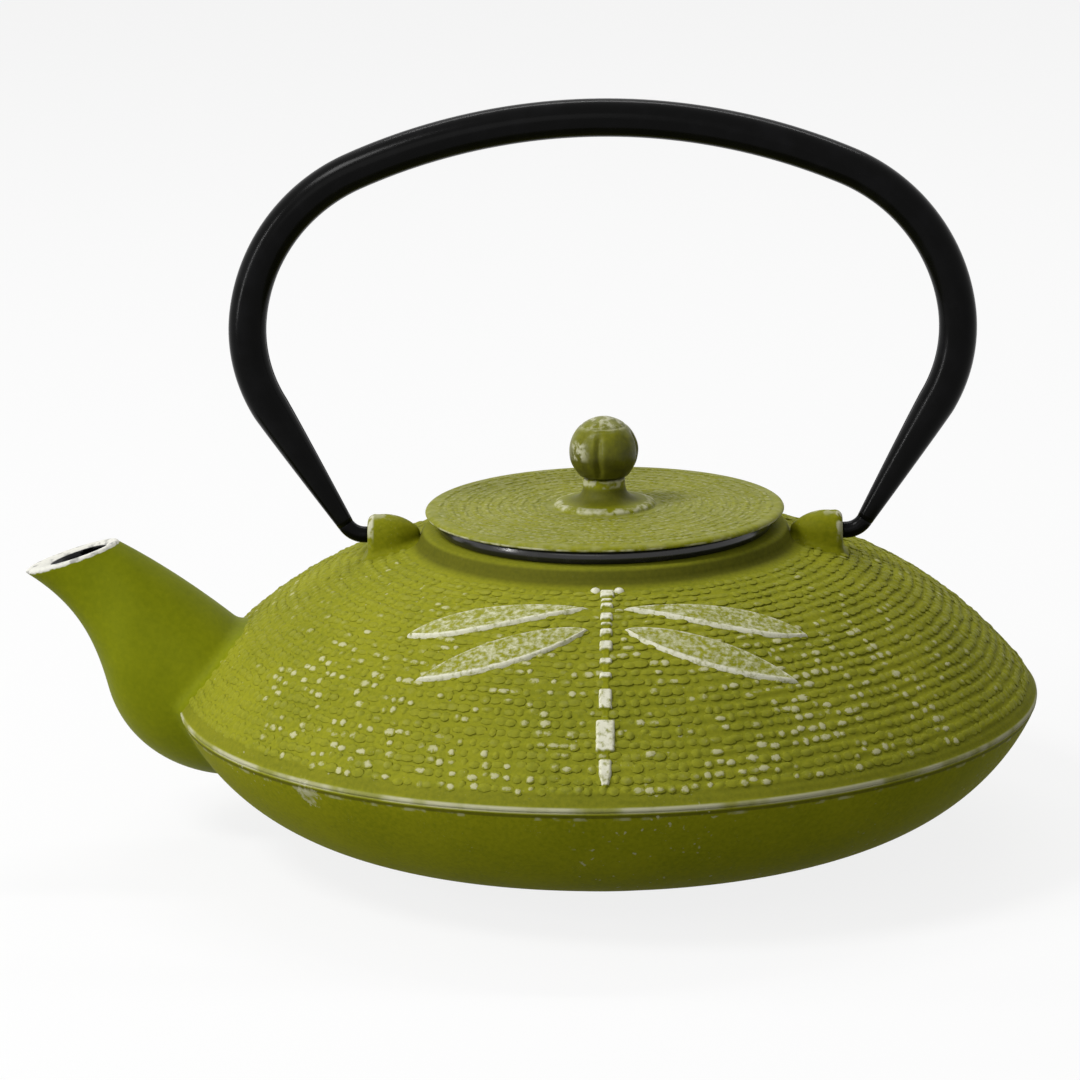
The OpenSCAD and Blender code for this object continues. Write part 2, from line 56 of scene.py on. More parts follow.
# %% [markdown]
# ## Camera
# A long lens from a little above the table shows the lid's top and the pot's side at once. The
# camera stands over a metre away, so the circles of lid and ridge keep their even, calm shape.

# %% Camera
camera_place = Vector((23.698, -1063.991, 318.465)) * MM
looks = Vector((-0.03393366, 0.97173277, -0.23363204))
rightwards = Vector((0.99937471, 0.03066807, -0.01759721))
upwards = Vector((0.00993475, 0.23408309, 0.97216583))
camera_data = bpy.data.cameras.new("camera")
camera_data.sensor_fit = "HORIZONTAL"
camera_data.sensor_width = 36.0
camera_data.lens = 176.6
camera_data.clip_start = 0.05
camera = bpy.data.objects.new("camera", camera_data)
turn = Matrix((rightwards, upwards, -looks)).transposed().to_4x4()
camera.matrix_world = Matrix.Translation(camera_place) @ turn
bpy.context.scene.collection.objects.link(camera)
bpy.context.scene.camera = camera
print("camera", round(camera_place.length, 3), "m away")

# %% [markdown]
# ## Shader arithmetic
# Paint on cast iron is never one flat colour, and every mask for it is a small sum of noises. The
# class below wraps a socket, so that such a sum is written as a plain Python expression.

# %% Values and finishes
class Value:
    """A number on a material's node tree, for use in Python expressions."""

    def __init__(self, tree, socket):
        self.tree, self.socket = tree, socket

    def math(self, how, *terms):
        node = self.tree.nodes.new("ShaderNodeMath")
        node.operation = how
        for slot, term in zip(node.inputs, terms):
            plug(self.tree, slot, term)
        return Value(self.tree, node.outputs[0])

    def __add__(self, other):
        return self.math("ADD", self, other)

    def __sub__(self, other):
        return self.math("SUBTRACT", self, other)

    def __rsub__(self, other):
        return self.math("SUBTRACT", other, self)

    def __mul__(self, other):
        return self.math("MULTIPLY", self, other)

    def __pow__(self, other):
        return self.math("POWER", self, other)

    __radd__, __rmul__ = __add__, __mul__

    def ramp(self, low, high):
        """0 at low, 1 at high, and smooth between them."""
        node = self.tree.nodes.new("ShaderNodeMapRange")
        node.interpolation_type = "SMOOTHSTEP"
        for slot, term in zip(node.inputs, (self, low, high, 0.0, 1.0)):
            plug(self.tree, slot, term)
        return Value(self.tree, node.outputs[0])

    def band(self, middle, half):
        """1 within half of middle, falling to 0 at its edges."""
        return 1 - self.math("ABSOLUTE", self - middle).ramp(half * 0.5, half)


def plug(tree, slot, term):
    """Links a wrapped socket to a slot, or sets a plain number on it."""
    if isinstance(term, Value):
        tree.links.new(term.socket, slot)
    else:
        slot.default_value = term


class Finish:
    """A material: its surface shader and the nodes that feed it."""

    def __init__(self, name):
        self.material = bpy.data.materials.new(name)
        self.material.use_nodes = True
        self.tree = self.material.node_tree
        self.shader = self.tree.nodes["Principled BSDF"]
        self.place = self.node("ShaderNodeTexCoord", out="Object")

    def node(self, kind, out=0, settings=None, **slots):
        made = self.tree.nodes.new(kind)
        for key, setting in (settings or {}).items():
            setattr(made, key, setting)
        for key, term in slots.items():
            plug(self.tree, made.inputs[key.replace("_", " ")], term)
        return Value(self.tree, made.outputs[out])

    def noise(self, size, detail=2.0, rough=0.5, stretch=None):
        """Cloudy variation with lumps of about size millimetres."""
        where = self.place
        if stretch:
            where = self.node("ShaderNodeMapping", Vector=self.place, Scale=stretch)
        return self.node("ShaderNodeTexNoise", "Fac", Vector=where, Scale=1000.0 / size,
                         Detail=detail, Roughness=rough)

    def axis(self, letter):
        """One coordinate of the surface point, in millimetres."""
        return self.node("ShaderNodeSeparateXYZ", letter, Vector=self.place) * 1000.0

    def attribute(self, name):
        return self.node("ShaderNodeAttribute", "Fac", {"attribute_name": name})

    def mix(self, first, second, share):
        made = self.tree.nodes.new("ShaderNodeMix")
        made.data_type = "RGBA"
        plug(self.tree, made.inputs[0], share)
        for slot, colour in ((made.inputs[6], first), (made.inputs[7], second)):
            plug(self.tree, slot, colour if isinstance(colour, Value) else (*colour, 1.0))
        return Value(self.tree, made.outputs[2])

    def bump(self, height, depth, strength=1.0):
        """Bump from a 0 to 1 height that stands depth millimetres proud."""
        return self.node("ShaderNodeBump", "Normal", Height=height, Distance=depth * MM,
                         Strength=strength)

    def set(self, **slots):
        for key, term in slots.items():
            plug(self.tree, self.shader.inputs[key.replace("_", " ")], term)
        return self.material


print("shader helpers ready")

# %% [markdown]
# ## Green paint on iron
# The real pot is sprayed a lime green that dries nearly matt over the sandy skin of the casting.
# The raised edges are then wiped, so that pale primer shows on the ridge and on the bead tops. The
# finish is one function: each piece asks for the same paint with its own mask of what is rubbed,
# and some pieces add a mask of painted shade.

# %% Paint
LIME = (0.285, 0.290, 0.008)
MOSS = (0.172, 0.190, 0.003)
CREAM = (0.60, 0.59, 0.42)
FLECK = (0.55, 0.54, 0.31)
# Dark mixed into the paint where shade is painted:
SHADE_COLOUR = (0.030, 0.028, 0.008)
SHINE = 0.11
KNOCK_AT, KNOCK_R = (-57.6, -66.4, 27.8), 5.2


def painted(name, rubbed=None, shade_mask=None, skin=0.10, gloss=0.46, shine=SHINE, primer=CREAM,
            tone=1.0, sheen_veil=0.0):
    """Lime paint over cast iron. rubbed takes a Finish and returns a 0 to 1 mask of worn paint, and the
    next mask, taken the same way, is painted shade. tone darkens the green, and the last number lays a
    thin pale veil over it, which is painted sheen."""
    finish = Finish(name)
    cloud = finish.noise(17.0, 3.0)
    fine = finish.noise(0.9, 3.0, 0.6)
    grit = finish.noise(0.35, 2.0, 0.6)
    green = finish.mix([part * tone for part in MOSS], [part * tone for part in LIME],
                       (cloud * 0.45 + fine * 0.75).ramp(0.22, 0.86))
    # Pale specks of the casting's skin, plus an even pale veil that is painted sheen.
    speck_and_sheen = grit.ramp(0.66, 0.74) * finish.noise(6.0).ramp(0.45, 0.7) * 0.35 + sheen_veil
    colour = finish.mix(green, CREAM, speck_and_sheen)
    worn = 0.0
    # Painted shade: darkens the paint where the mask puts shade.
    if shade_mask:
        colour = finish.mix(colour, SHADE_COLOUR, shade_mask(finish))
    if rubbed:
        worn = rubbed(finish)
        colour = finish.mix(colour, primer, worn)
    height = fine * 0.6 + grit * 0.30 + worn * 0.9
    rough = fine * 0.16 + gloss + worn * 0.08
    return finish.set(Base_Color=colour, Roughness=rough, Normal=finish.bump(height, skin, 0.7),
                      Specular_IOR_Level=shine)


def ridge_worn(finish):
    """The wiped line round the widest edge, broken where the paint has stayed, and one knock."""
    z = finish.axis("Z")
    patches = finish.noise(9.0, 3.0, stretch=(1, 1, 0.2)).ramp(0.36, 0.56)
    line = z.band(30.35, 0.75) * (patches * 0.62 + 0.16)
    lower = z.band(28.6, 0.45) * finish.noise(3.2, 3.0).ramp(0.5, 0.66) * 0.35
    flecks = finish.noise(1.3, 1.0).ramp(0.70, 0.76) * finish.noise(24.0).ramp(0.5, 0.62)
    flecks = flecks * z.ramp(61.5, 60.5)
    x, y, low = finish.axis("X") - KNOCK_AT[0], finish.axis("Y") - KNOCK_AT[1], z - KNOCK_AT[2]
    near = ((x * x + y * y + low * low) ** 0.5).ramp(KNOCK_R, 0.4)
    knock = (near + finish.noise(0.9, 4.0, 0.7) * 1.9 - 0.95).ramp(0.36, 0.70) * near.ramp(0.0, 0.2)
    knock = knock * finish.noise(1.7, 3.0).ramp(0.38, 0.62) * 0.55
    return line.math("MINIMUM", line + lower + flecks * 0.5 + knock, 1.0)


def ridge_and_neck_shade(finish):
    """Painted shade under the ridge, the lid's painted shadow in the neck's crease, a darker band above."""
    z = finish.axis("Z")
    return z.band(29.15, 0.5) * 0.55 + z.band(32.2, 1.5) * 0.20 + z.band(63.9, 1.9) * 0.62


pot_paint = painted("pot_paint", ridge_worn, ridge_and_neck_shade, gloss=0.56, shine=0.02)
plain_paint = painted("plain_paint")
print("paint:", pot_paint.name, plain_paint.name)

# %% [markdown]
# The lining is glass fired onto the iron, so it is black and glossy with a faint orange peel. The
# infuser, the washer and the screw are bare stainless steel, which needs only metal and a fine grain.

# %% Enamel and steel
def enamel(name):
    """Black enamel, fired glossy, with a faint orange peel."""
    finish = Finish(name)
    peel = finish.noise(2.4, 2.0)
    colour = finish.mix((0.012, 0.012, 0.013), (0.03, 0.03, 0.03), peel.ramp(0.5, 0.9))
    return finish.set(Base_Color=colour, Roughness=peel * 0.08 + 0.16,
                      Normal=finish.bump(peel, 0.03, 0.5))


def steel(name):
    """Thin stainless steel with a fine rolled grain."""
    finish = Finish(name)
    grain = finish.noise(0.8, 3.0, stretch=(1, 1, 12))
    return finish.set(Base_Color=finish.mix((0.50, 0.50, 0.51), (0.66, 0.66, 0.67), grain),
                      Metallic=1.0, Roughness=grain * 0.14 + 0.24)


black_enamel = enamel("black_enamel")
bright_steel = steel("bright_steel")
print("finishes:", black_enamel.name, bright_steel.name)

# %% [markdown]
# ## Meshes from points
# Nearly every piece here is a grid of points: rings round an axis, or rings along a path. A few
# short helpers join such grids, close their ends and turn their faces outwards.

# %% Mesh helpers
def grid(rows, columns, wrap=True):
    """Quads over rows of points; wrap joins the last column to the first."""
    across = np.arange(columns if wrap else columns - 1)
    down = np.arange(rows - 1)[:, None]
    a = down * columns + across
    b = down * columns + (across + 1) % columns
    return np.stack([a, b, b + columns, a + columns], -1).reshape(-1, 4)


def seal(rows, columns):
    """Quads that join the last row of a ring-shaped outline to its first."""
    ring = np.arange(columns)
    last = (rows - 1) * columns
    return np.stack([last + ring, last + (ring + 1) % columns, (ring + 1) % columns, ring], -1)


def piece(name, points, faces, finish, body=None, replaces=(), extra=None):
    """A mesh object from points in millimetres and a list of faces."""
    mesh = bpy.data.meshes.new(name)
    flat = [tuple(int(i) for i in face) for group in faces for face in group]
    mesh.from_pydata((np.asarray(points, float) * MM).tolist(), [], flat)
    mesh.validate()
    for key, numbers in (extra or {}).items():
        stored = mesh.attributes.new(key, "FLOAT", "POINT")
        stored.data.foreach_set("value", np.asarray(numbers, np.float32))
    made = bpy.data.objects.new(name, mesh)
    bpy.context.scene.collection.objects.link(made)
    mesh.materials.append(finish)
    clean(made)
    return settle(made, body, replaces) if body else made


def clean(made):
    """Merges doubled points, drops flat faces and points every face outwards."""
    work = bmesh.new()
    work.from_mesh(made.data)
    bmesh.ops.remove_doubles(work, verts=work.verts, dist=2e-6)
    bmesh.ops.dissolve_degenerate(work, edges=work.edges, dist=1e-7)
    bmesh.ops.recalc_face_normals(work, faces=work.faces)
    work.to_mesh(made.data)
    work.free()
    for face in made.data.polygons:
        face.use_smooth = True


def settle(made, body, replaces=()):
    """Ties a finished piece to its body and to the solids it stands for."""
    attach(made, body)
    if replaces:
        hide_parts(*replaces)
    print(f"{made.name}: {len(made.data.polygons)} faces")
    return made


def dress(node, finish):
    """Gives one of the solids that stay in view its finish."""
    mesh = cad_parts[node].data
    mesh.materials.clear()
    mesh.materials.append(finish)


def turned(outline, steps):
    """Points of an outline of (radius, height) turned about the upright axis."""
    outline = np.asarray(outline, float)
    angle = np.arange(steps) * 2 * math.pi / steps
    r, z = outline[:, 0][:, None], outline[:, 1][:, None]
    return np.stack([r * np.cos(angle), r * np.sin(angle), z + 0 * angle], -1).reshape(-1, 3)


def arc(middle, radius, first, last, count):
    """Points on an arc; angles in degrees from straight up, clockwise."""
    turn = np.radians(np.linspace(first, last, count))
    return np.stack([middle[0] + radius * np.sin(turn), middle[1] + radius * np.cos(turn)], -1)


def curve(p, t):
    """A four-point curve at t, which may be an array."""
    t = np.asarray(t, float)[..., None]
    p = np.asarray(p, float)
    return (1 - t) ** 3 * p[0] + 3 * (1 - t) ** 2 * t * p[1] + 3 * (1 - t) * t ** 2 * p[2] + t ** 3 * p[3]


def soft_noise(x, y, seed=1, octaves=3):
    """Smooth repeatable noise from a few crossed waves, about -1 to 1."""
    rng = np.random.default_rng(seed)
    total = 0 * (x + y)
    for k in range(octaves * 4):
        a, phase = rng.uniform(0, 2 * math.pi, 2)
        f = 2 ** (k // 4) * rng.uniform(0.7, 1.3)
        total = total + np.sin(f * (x * math.cos(a) + y * math.sin(a)) + phase) / (1 + k // 4)
    return total / (octaves * 1.6)


print("mesh helpers ready")

# %% [markdown]
# ## The pot
# Two arcs make the pot's side: a long flat one over the shoulder and a tighter one under the
# ridge. The shoulder is cast with rows of low cords, and those rows are real geometry here, a
# ripple added to the arc, because they show on the outline and catch the light.

# %% Pot sizes
SHOULDER_MID, SHOULDER_R = np.array([26.6, -11.6]), 75.3
BOWL_MID, BOWL_R = np.array([49.7, 47.2]), 43.0
WALL = 3.2
ROW_PITCH, ROW_COUNT = 2.45, 25
NECK_ANGLE, RIDGE_ANGLE = 8.95, 55.55
FIRST_ROW, CORD_DEPTH = 1.5, 0.45
RIDGE_Z = 30.0


def skin_radius(r):
    """Radius of the skin between the cords; the cords themselves reach the full radius."""
    return SHOULDER_R - CORD_DEPTH * np.clip((88 - r) / 6, 0, 1) * np.clip((r - 38.4) / 4, 0, 1)


def shoulder_height(x, y):
    """Height of the smooth shoulder over a point seen from above."""
    r = np.hypot(x, y)
    return SHOULDER_MID[1] + np.sqrt(np.maximum(skin_radius(r) ** 2 - (r - SHOULDER_MID[0]) ** 2, 0))


def on_shoulder(x, y, lift):
    """A point on the shoulder under (x, y), moved along its outward direction by lift."""
    r = np.hypot(x, y)
    z = shoulder_height(x, y)
    out_r, out_z = (r - SHOULDER_MID[0]) / SHOULDER_R, (z - SHOULDER_MID[1]) / SHOULDER_R
    k = (r + out_r * lift) / r
    return np.stack([x * k, y * k, z + out_z * lift], -1)


print("shoulder arc", round(math.radians(RIDGE_ANGLE - NECK_ANGLE) * SHOULDER_R, 1), "mm long")

# %% [markdown]
# Wiping bares only what stands proud, so the pale flecks sit on the tops of the beads that lie
# along the cords. Each bead carries two numbers: crown, which is 1 at its top and 0 at its foot,
# and luck, which is its own. Where the cloth went, mostly over the lower front, more of them are
# bared, and a lucky bead is bared wider.

# %% Paint on the cords
def cloth_share(finish):
    """How likely a bead is to be bared, from 0 to 1, by where it lies on the shoulder."""
    x, y, z = finish.axis("X"), finish.axis("Y"), finish.axis("Z")
    front = (y * -1.0).ramp(4.0, 44.0)
    left, right = x.band(-34.0, 40.0), x.band(36.0, 46.0)
    cloth = (left * 1.05 + right * 0.95) * z.band(42.0, 20.0) * front
    patch = finish.noise(9.0, 3.0).ramp(0.38, 0.62)
    thin = finish.noise(20.0, 2.0).ramp(0.42, 0.66) * 0.28 + 0.06
    return cloth * (patch * 0.50 + 0.12) + thin


def bead_worn(finish):
    """Bared spots on the lucky beads, and a thin dusting on the tops of the rest."""
    crown, luck = finish.attribute("crown"), finish.attribute("luck")
    bared = (luck + cloth_share(finish) - 1.03).ramp(0.0, 0.44)
    ragged = finish.noise(0.8, 3.0, 0.65)
    spot = (crown + ragged * 1.8 + bared * 0.34 - 0.95).ramp(0.66, 1.04) * bared.ramp(0.0, 0.25)
    dusty = (crown + ragged - 0.5).ramp(0.3, 1.0) * luck.ramp(0.25, 1.0)
    dusty = dusty * cloth_share(finish).ramp(0.05, 0.5)
    return spot * (bared * 0.44 + 0.34) + dusty * 0.16


# Both paints carry a thin pale veil of painted sheen.
cord_paint = painted("cord_paint", bead_worn, skin=0.09, shine=0.03, primer=FLECK, sheen_veil=0.035)
shoulder_paint = painted("shoulder_paint", ridge_worn, ridge_and_neck_shade, skin=0.09, shine=0.008, sheen_veil=0.03)
print("paint:", cord_paint.name, shoulder_paint.name)

# %% [markdown]
# The shoulder is one outline turned about the axis: round the ridge, up over the corded side, round
# the neck with its two seats, and back down the inside of the wall. Only the corded side differs
# round the pot, so its rows are worked out on a grid of height and angle and set between the rest.

# %% Pot shoulder
def cord_height(around):
    """The cords are full at the right and the back and fade out towards the spout."""
    away = np.abs((np.degrees(around) - 180 + 180) % 360 - 180)
    return 0.35 + 0.65 * np.clip((away - 25) / 70, 0, 1)


def pot_shoulder():
    steps, fine = 400, 176
    angle = np.linspace(RIDGE_ANGLE, NECK_ANGLE + 1.65, fine)
    along = np.radians(angle - NECK_ANGLE) * SHOULDER_R
    fade = np.clip((along - 2.2) / 2.6, 0, 1) * np.clip((60.4 - along) / 1.5, 0, 1)
    around = np.arange(steps) * 2 * math.pi / steps
    sway = 0.22 * soft_noise(around[None] * 14, along[:, None] * 0.35, 6, 2)
    wave = 0.5 + 0.5 * np.cos(2 * math.pi * (along[:, None] - FIRST_ROW + sway) / ROW_PITCH)
    lumps = soft_noise(around[None] * 40, along[:, None] * 2.1, 4, 2)
    lift = fade[:, None] * cord_height(around[None]) * (wave ** 1.2 * (0.26 + 0.10 * lumps) + 0.03 * lumps)
    a = np.radians(angle)[:, None]
    radius = skin_radius(SHOULDER_MID[0] + SHOULDER_R * np.sin(a)) + lift
    r = SHOULDER_MID[0] + radius * np.sin(a)
    z = SHOULDER_MID[1] + radius * np.cos(a)
    side = np.stack([r * np.cos(around), r * np.sin(around), z], -1).reshape(-1, 3)
    ridge = turned([(86.0, 30.0), (88.5, 30.0), (88.85, 30.05), (89.0, 30.25), (88.95, 30.7)], steps)
    start, bend, end = np.array([40.3, 62.3]), np.array([38.45, 62.6]), np.array([38.2, 64.0])
    neck = [tuple((1 - t) ** 2 * start + 2 * t * (1 - t) * bend + t * t * end)
            for t in np.linspace(0.08, 1, 9)]
    neck += [(38.05, 64.2), (37.85, 64.9), (37.5, 65.35), (37.0, 65.6), (33.0, 65.6), (32.3, 65.55),
             (32.2, 65.4), (32.2, 64.7), (30.7, 64.7), (30.5, 64.55), (30.5, 61.6)]
    inside = arc(SHOULDER_MID, SHOULDER_R - WALL, 4.0, 53.5, 26)
    rest = turned(neck + [tuple(p) for p in inside] + [(85.9, 30.02)], steps)
    points = np.concatenate([ridge, side, rest])
    rows = len(points) // steps
    return piece("pot_shoulder_iron", points, [grid(rows, steps), seal(rows, steps)], shoulder_paint)


shoulder = pot_shoulder()
print("shoulder:", len(shoulder.data.vertices), "points")

# %% [markdown]
# Water leaves through a round port in the wall behind the spout. A Boolean with a drill-shaped
# mesh opens it, which keeps the wall's two skins joined round the hole.

# %% Pouring port
def drill(target, points, faces):
    """Cuts a closed mesh out of a piece and applies the cut."""
    cutter = piece("cutter", points, faces, plain_paint)
    cut = target.modifiers.new("cut", "BOOLEAN")
    cut.operation, cut.solver, cut.object = "DIFFERENCE", "EXACT", cutter
    fresh = bpy.data.meshes.new_from_object(target.evaluated_get(bpy.context.evaluated_depsgraph_get()))
    target.modifiers.clear()
    target.data = fresh
    bpy.data.objects.remove(cutter)


def rod(start, end, radius, sides=32):
    """Points and faces of a closed straight rod between two points."""
    start, end = np.asarray(start, float), np.asarray(end, float)
    line = (end - start) / np.linalg.norm(end - start)
    side = np.cross(line, (0.3, 0.5, 0.81))
    side /= np.linalg.norm(side)
    other = np.cross(line, side)
    turn = np.arange(sides) * 2 * math.pi / sides
    ring = radius * (np.cos(turn)[:, None] * side + np.sin(turn)[:, None] * other)
    ends = [np.arange(sides)[None], (sides + np.arange(sides))[None]]
    return np.concatenate([start + ring, end + ring]), [grid(2, sides)] + ends


PORT_Z, PORT_R = 39, 7.5
PORT_FROM, PORT_TO = -70, -93
bpy.context.view_layer.update()
drill(shoulder, *rod((PORT_FROM, 0, PORT_Z), (PORT_TO, 0, PORT_Z), PORT_R, 40))
settle(shoulder, "pot", ["pot_shoulder"])

# %% [markdown]
# Below the ridge the pot is plain, so the bowl is simply turned: the tight arc of the side, the
# foot ring that it stands on, and the same arc again one wall further in.

# %% Pot bowl
def pot_bowl():
    outside = arc(BOWL_MID, BOWL_R, 115, 168, 40)
    outside = [tuple(p) for p in outside if p[1] < RIDGE_Z - 1.1]
    foot = [(45.6, 4.8), (44.6, 4.0), (43.6, 1.2), (43.2, 0.25), (42.9, 0.0), (38.9, 0.0), (38.55, 0.25),
            (37.9, 3.4), (37.2, 4.1), (30.0, 4.15), (0.0, 4.2)]
    inside = arc(BOWL_MID, BOWL_R - WALL, 180, 114.6, 30)
    ridge = [(86.0, 30.0), (88.6, 30.0), (88.85, 29.9), (88.9, 29.6), (88.75, 29.3)]
    outline = ridge + outside + foot + [(0.0, 7.4)] + [tuple(p) for p in inside]
    steps = 320
    faces = [grid(len(outline), steps), seal(len(outline), steps)]
    return piece("pot_bowl_iron", turned(outline, steps), faces, pot_paint, "pot", ["pot_bowl"])


pot_bowl()
dress("pot_enamel", black_enamel)
print("bowl and lining done")

# %% [markdown]
# ## Trees that lay pieces out
# Beads and mesh wires repeat by a rule, and Geometry Nodes is made for that. The class below holds
# one tree with its named inputs, and runs it into a plain mesh.

# %% Tree helper
class Tree:
    """A Geometry Nodes tree with named inputs."""

    def __init__(self, name, **inputs):
        self.group = bpy.data.node_groups.new(name, "GeometryNodeTree")
        face = self.group.interface
        face.new_socket("Geometry", in_out="INPUT", socket_type="NodeSocketGeometry")
        self.names = {}
        for key, number in inputs.items():
            kind = {int: "NodeSocketInt", float: "NodeSocketFloat", bpy.types.Object: "NodeSocketObject"}
            kind = kind.get(type(number), "NodeSocketMaterial")
            socket = face.new_socket(key.replace("_", " "), in_out="INPUT", socket_type=kind)
            socket.default_value = number
            self.names[key] = socket.identifier
        face.new_socket("Geometry", in_out="OUTPUT", socket_type="NodeSocketGeometry")
        self.inputs = self.group.nodes.new("NodeGroupInput")
        self.outputs = self.group.nodes.new("NodeGroupOutput")

    def get(self, key):
        return self.inputs.outputs[key.replace("_", " ")]

    def node(self, kind, settings=None, **slots):
        """A node; a slot's key is its socket's name, or s and its number."""
        made = self.group.nodes.new(kind)
        for key, setting in (settings or {}).items():
            setattr(made, key, setting)
        for key, term in slots.items():
            by_number = key[0] == "s" and key[1:].isdigit()
            slot = made.inputs[int(key[1:]) if by_number else key.replace("_", " ")]
            if isinstance(term, bpy.types.NodeSocket):
                self.group.links.new(term, slot)
            else:
                slot.default_value = term
        return made

    def math(self, how, first, second=0.0):
        return self.node("ShaderNodeMath", {"operation": how}, s0=first, s1=second).outputs[0]

    def vector(self, how, first, second=(0.0, 0.0, 0.0)):
        return self.node("ShaderNodeVectorMath", {"operation": how}, s0=first, s1=second).outputs[0]

    def unit(self, arrow):
        return self.vector("NORMALIZE", arrow)

    def scaled(self, arrow, size):
        return self.node("ShaderNodeVectorMath", {"operation": "SCALE"}, s0=arrow, Scale=size).outputs[0]

    def xyz(self, **parts):
        return self.node("ShaderNodeCombineXYZ", **parts).outputs[0]

    def place(self):
        return self.node("GeometryNodeInputPosition").outputs[0]

    def join(self, *parts):
        made = self.node("GeometryNodeJoinGeometry")
        for part in parts:
            self.group.links.new(part.outputs[0], made.inputs[0])
        return made

    def end(self, geometry, material):
        """Turns instances into real meshes, paints them and passes them out."""
        real = self.node("GeometryNodeRealizeInstances", Geometry=geometry)
        done = self.node("GeometryNodeSetMaterial", Geometry=real.outputs[0], Material=material)
        self.group.links.new(done.outputs[0], self.outputs.inputs[0])

    def run(self, base, name, **values):
        """Runs the tree on a base object and returns the result as a plain mesh object."""
        modifier = base.modifiers.new("tree", "NODES")
        modifier.node_group = self.group
        for key, number in values.items():
            modifier[self.names[key]] = number
        graph = bpy.context.evaluated_depsgraph_get()
        mesh = bpy.data.meshes.new_from_object(base.evaluated_get(graph), depsgraph=graph)
        base.modifiers.clear()
        made = bpy.data.objects.new(name, mesh)
        bpy.context.scene.collection.objects.link(made)
        bpy.data.objects.remove(base)
        return made


print("tree helper ready")

# %% [markdown]
# ## Beads on the rows
# Along every cord of the shoulder the mould left small raised beads, and wiping has bared some of
# them. A circle stands for each row. Points at an even spacing along it are strewn a little and set
# onto the iron itself, so that no bead floats over a hollow. Each point gets one closed bead, which
# stores its crown and its luck for the paint. The same tree, with other sizes, makes the finer
# beads on the lid.

# %% Bead tree
BEAD_SIDES = 8


def bead_places(tree):
    """Points along the rows, strewn a little and then set onto the piece, and their directions."""
    seed = tree.get("Seed")
    points = tree.node("GeometryNodeCurveToPoints", {"mode": "LENGTH"}, Curve=tree.get("Geometry"),
                       Length=tree.get("Spacing"))
    drop = tree.node("FunctionNodeRandomValue", {"data_type": "BOOLEAN"}, Seed=seed,
                     Probability=tree.get("Missing"))
    thinned = tree.node("GeometryNodeDeleteGeometry", {"domain": "POINT"}, Geometry=points.outputs[0],
                        Selection=drop.outputs[3])
    side = tree.node("FunctionNodeRandomValue", {"data_type": "FLOAT_VECTOR"}, s0=(-1.0, -1.0, -1.0),
                     s1=(1.0, 1.0, 1.0), Seed=tree.math("ADD", seed, 3.0))
    strewn = tree.node("GeometryNodeSetPosition", Geometry=thinned.outputs[0],
                       Offset=tree.scaled(side.outputs[0], tree.get("Stray")))
    where = tree.place()
    outward = tree.unit(tree.vector("MULTIPLY", where, (1.0, 1.0, 0.0)))
    middle = tree.vector("ADD", tree.scaled(outward, tree.get("Arc_Radius")),
                         tree.xyz(Z=tree.get("Arc_Height")))
    normal = tree.unit(tree.vector("SUBTRACT", where, middle))
    skin = tree.node("GeometryNodeObjectInfo", Object=tree.get("Onto"))
    nearest = tree.node("GeometryNodeProximity", {"target_element": "FACES"}, s0=skin.outputs["Geometry"])
    sunk = tree.scaled(normal, tree.math("MULTIPLY", tree.get("Sink"), -1.0))
    kept = tree.node("GeometryNodeSetPosition", Geometry=strewn.outputs[0],
                     Position=tree.vector("ADD", nearest.outputs[0], sunk))
    return kept.outputs[0], outward, normal


def bead_shape(tree):
    """One closed bead: a dome that rises like a bell from a flat base, with its crown stored."""
    ball = tree.node("GeometryNodeMeshUVSphere", Segments=BEAD_SIDES, Rings=6, Radius=1.0)
    place = tree.node("ShaderNodeSeparateXYZ", Vector=tree.place()).outputs
    under = tree.node("FunctionNodeCompare", {"operation": "LESS_THAN"}, s0=place[2], s1=-0.01)
    dome = tree.node("GeometryNodeDeleteGeometry", {"domain": "POINT"}, Geometry=ball.outputs[0],
                     Selection=under.outputs[0])
    disc = tree.node("GeometryNodeMeshCircle", {"fill_type": "NGON"}, Vertices=BEAD_SIDES, Radius=1.0)
    base = tree.node("GeometryNodeFlipFaces", Mesh=disc.outputs[0])
    closed = tree.node("GeometryNodeMergeByDistance", Geometry=tree.join(dome, base).outputs[0],
                       Distance=0.001)
    crown = tree.math("MULTIPLY", place[2], place[2])
    marked = tree.node("GeometryNodeStoreNamedAttribute", {"data_type": "FLOAT", "domain": "POINT"},
                       Geometry=closed.outputs[0], Name="crown", Value=crown)
    bell = tree.math("SUBTRACT", tree.math("MULTIPLY", tree.math("POWER", crown, 1.2), 1.1), 0.1)
    size = tree.xyz(X=tree.math("MULTIPLY", tree.get("Length"), 0.5),
                    Y=tree.math("MULTIPLY", tree.get("Width"), 0.5), Z=tree.get("Height"))
    shape = tree.vector("MULTIPLY", tree.xyz(X=place[0], Y=place[1], Z=bell), size)
    bead = tree.node("GeometryNodeSetPosition", Geometry=marked.outputs[0], Position=shape)
    return tree.node("GeometryNodeSetShadeSmooth", Geometry=bead.outputs[0]).outputs[0]


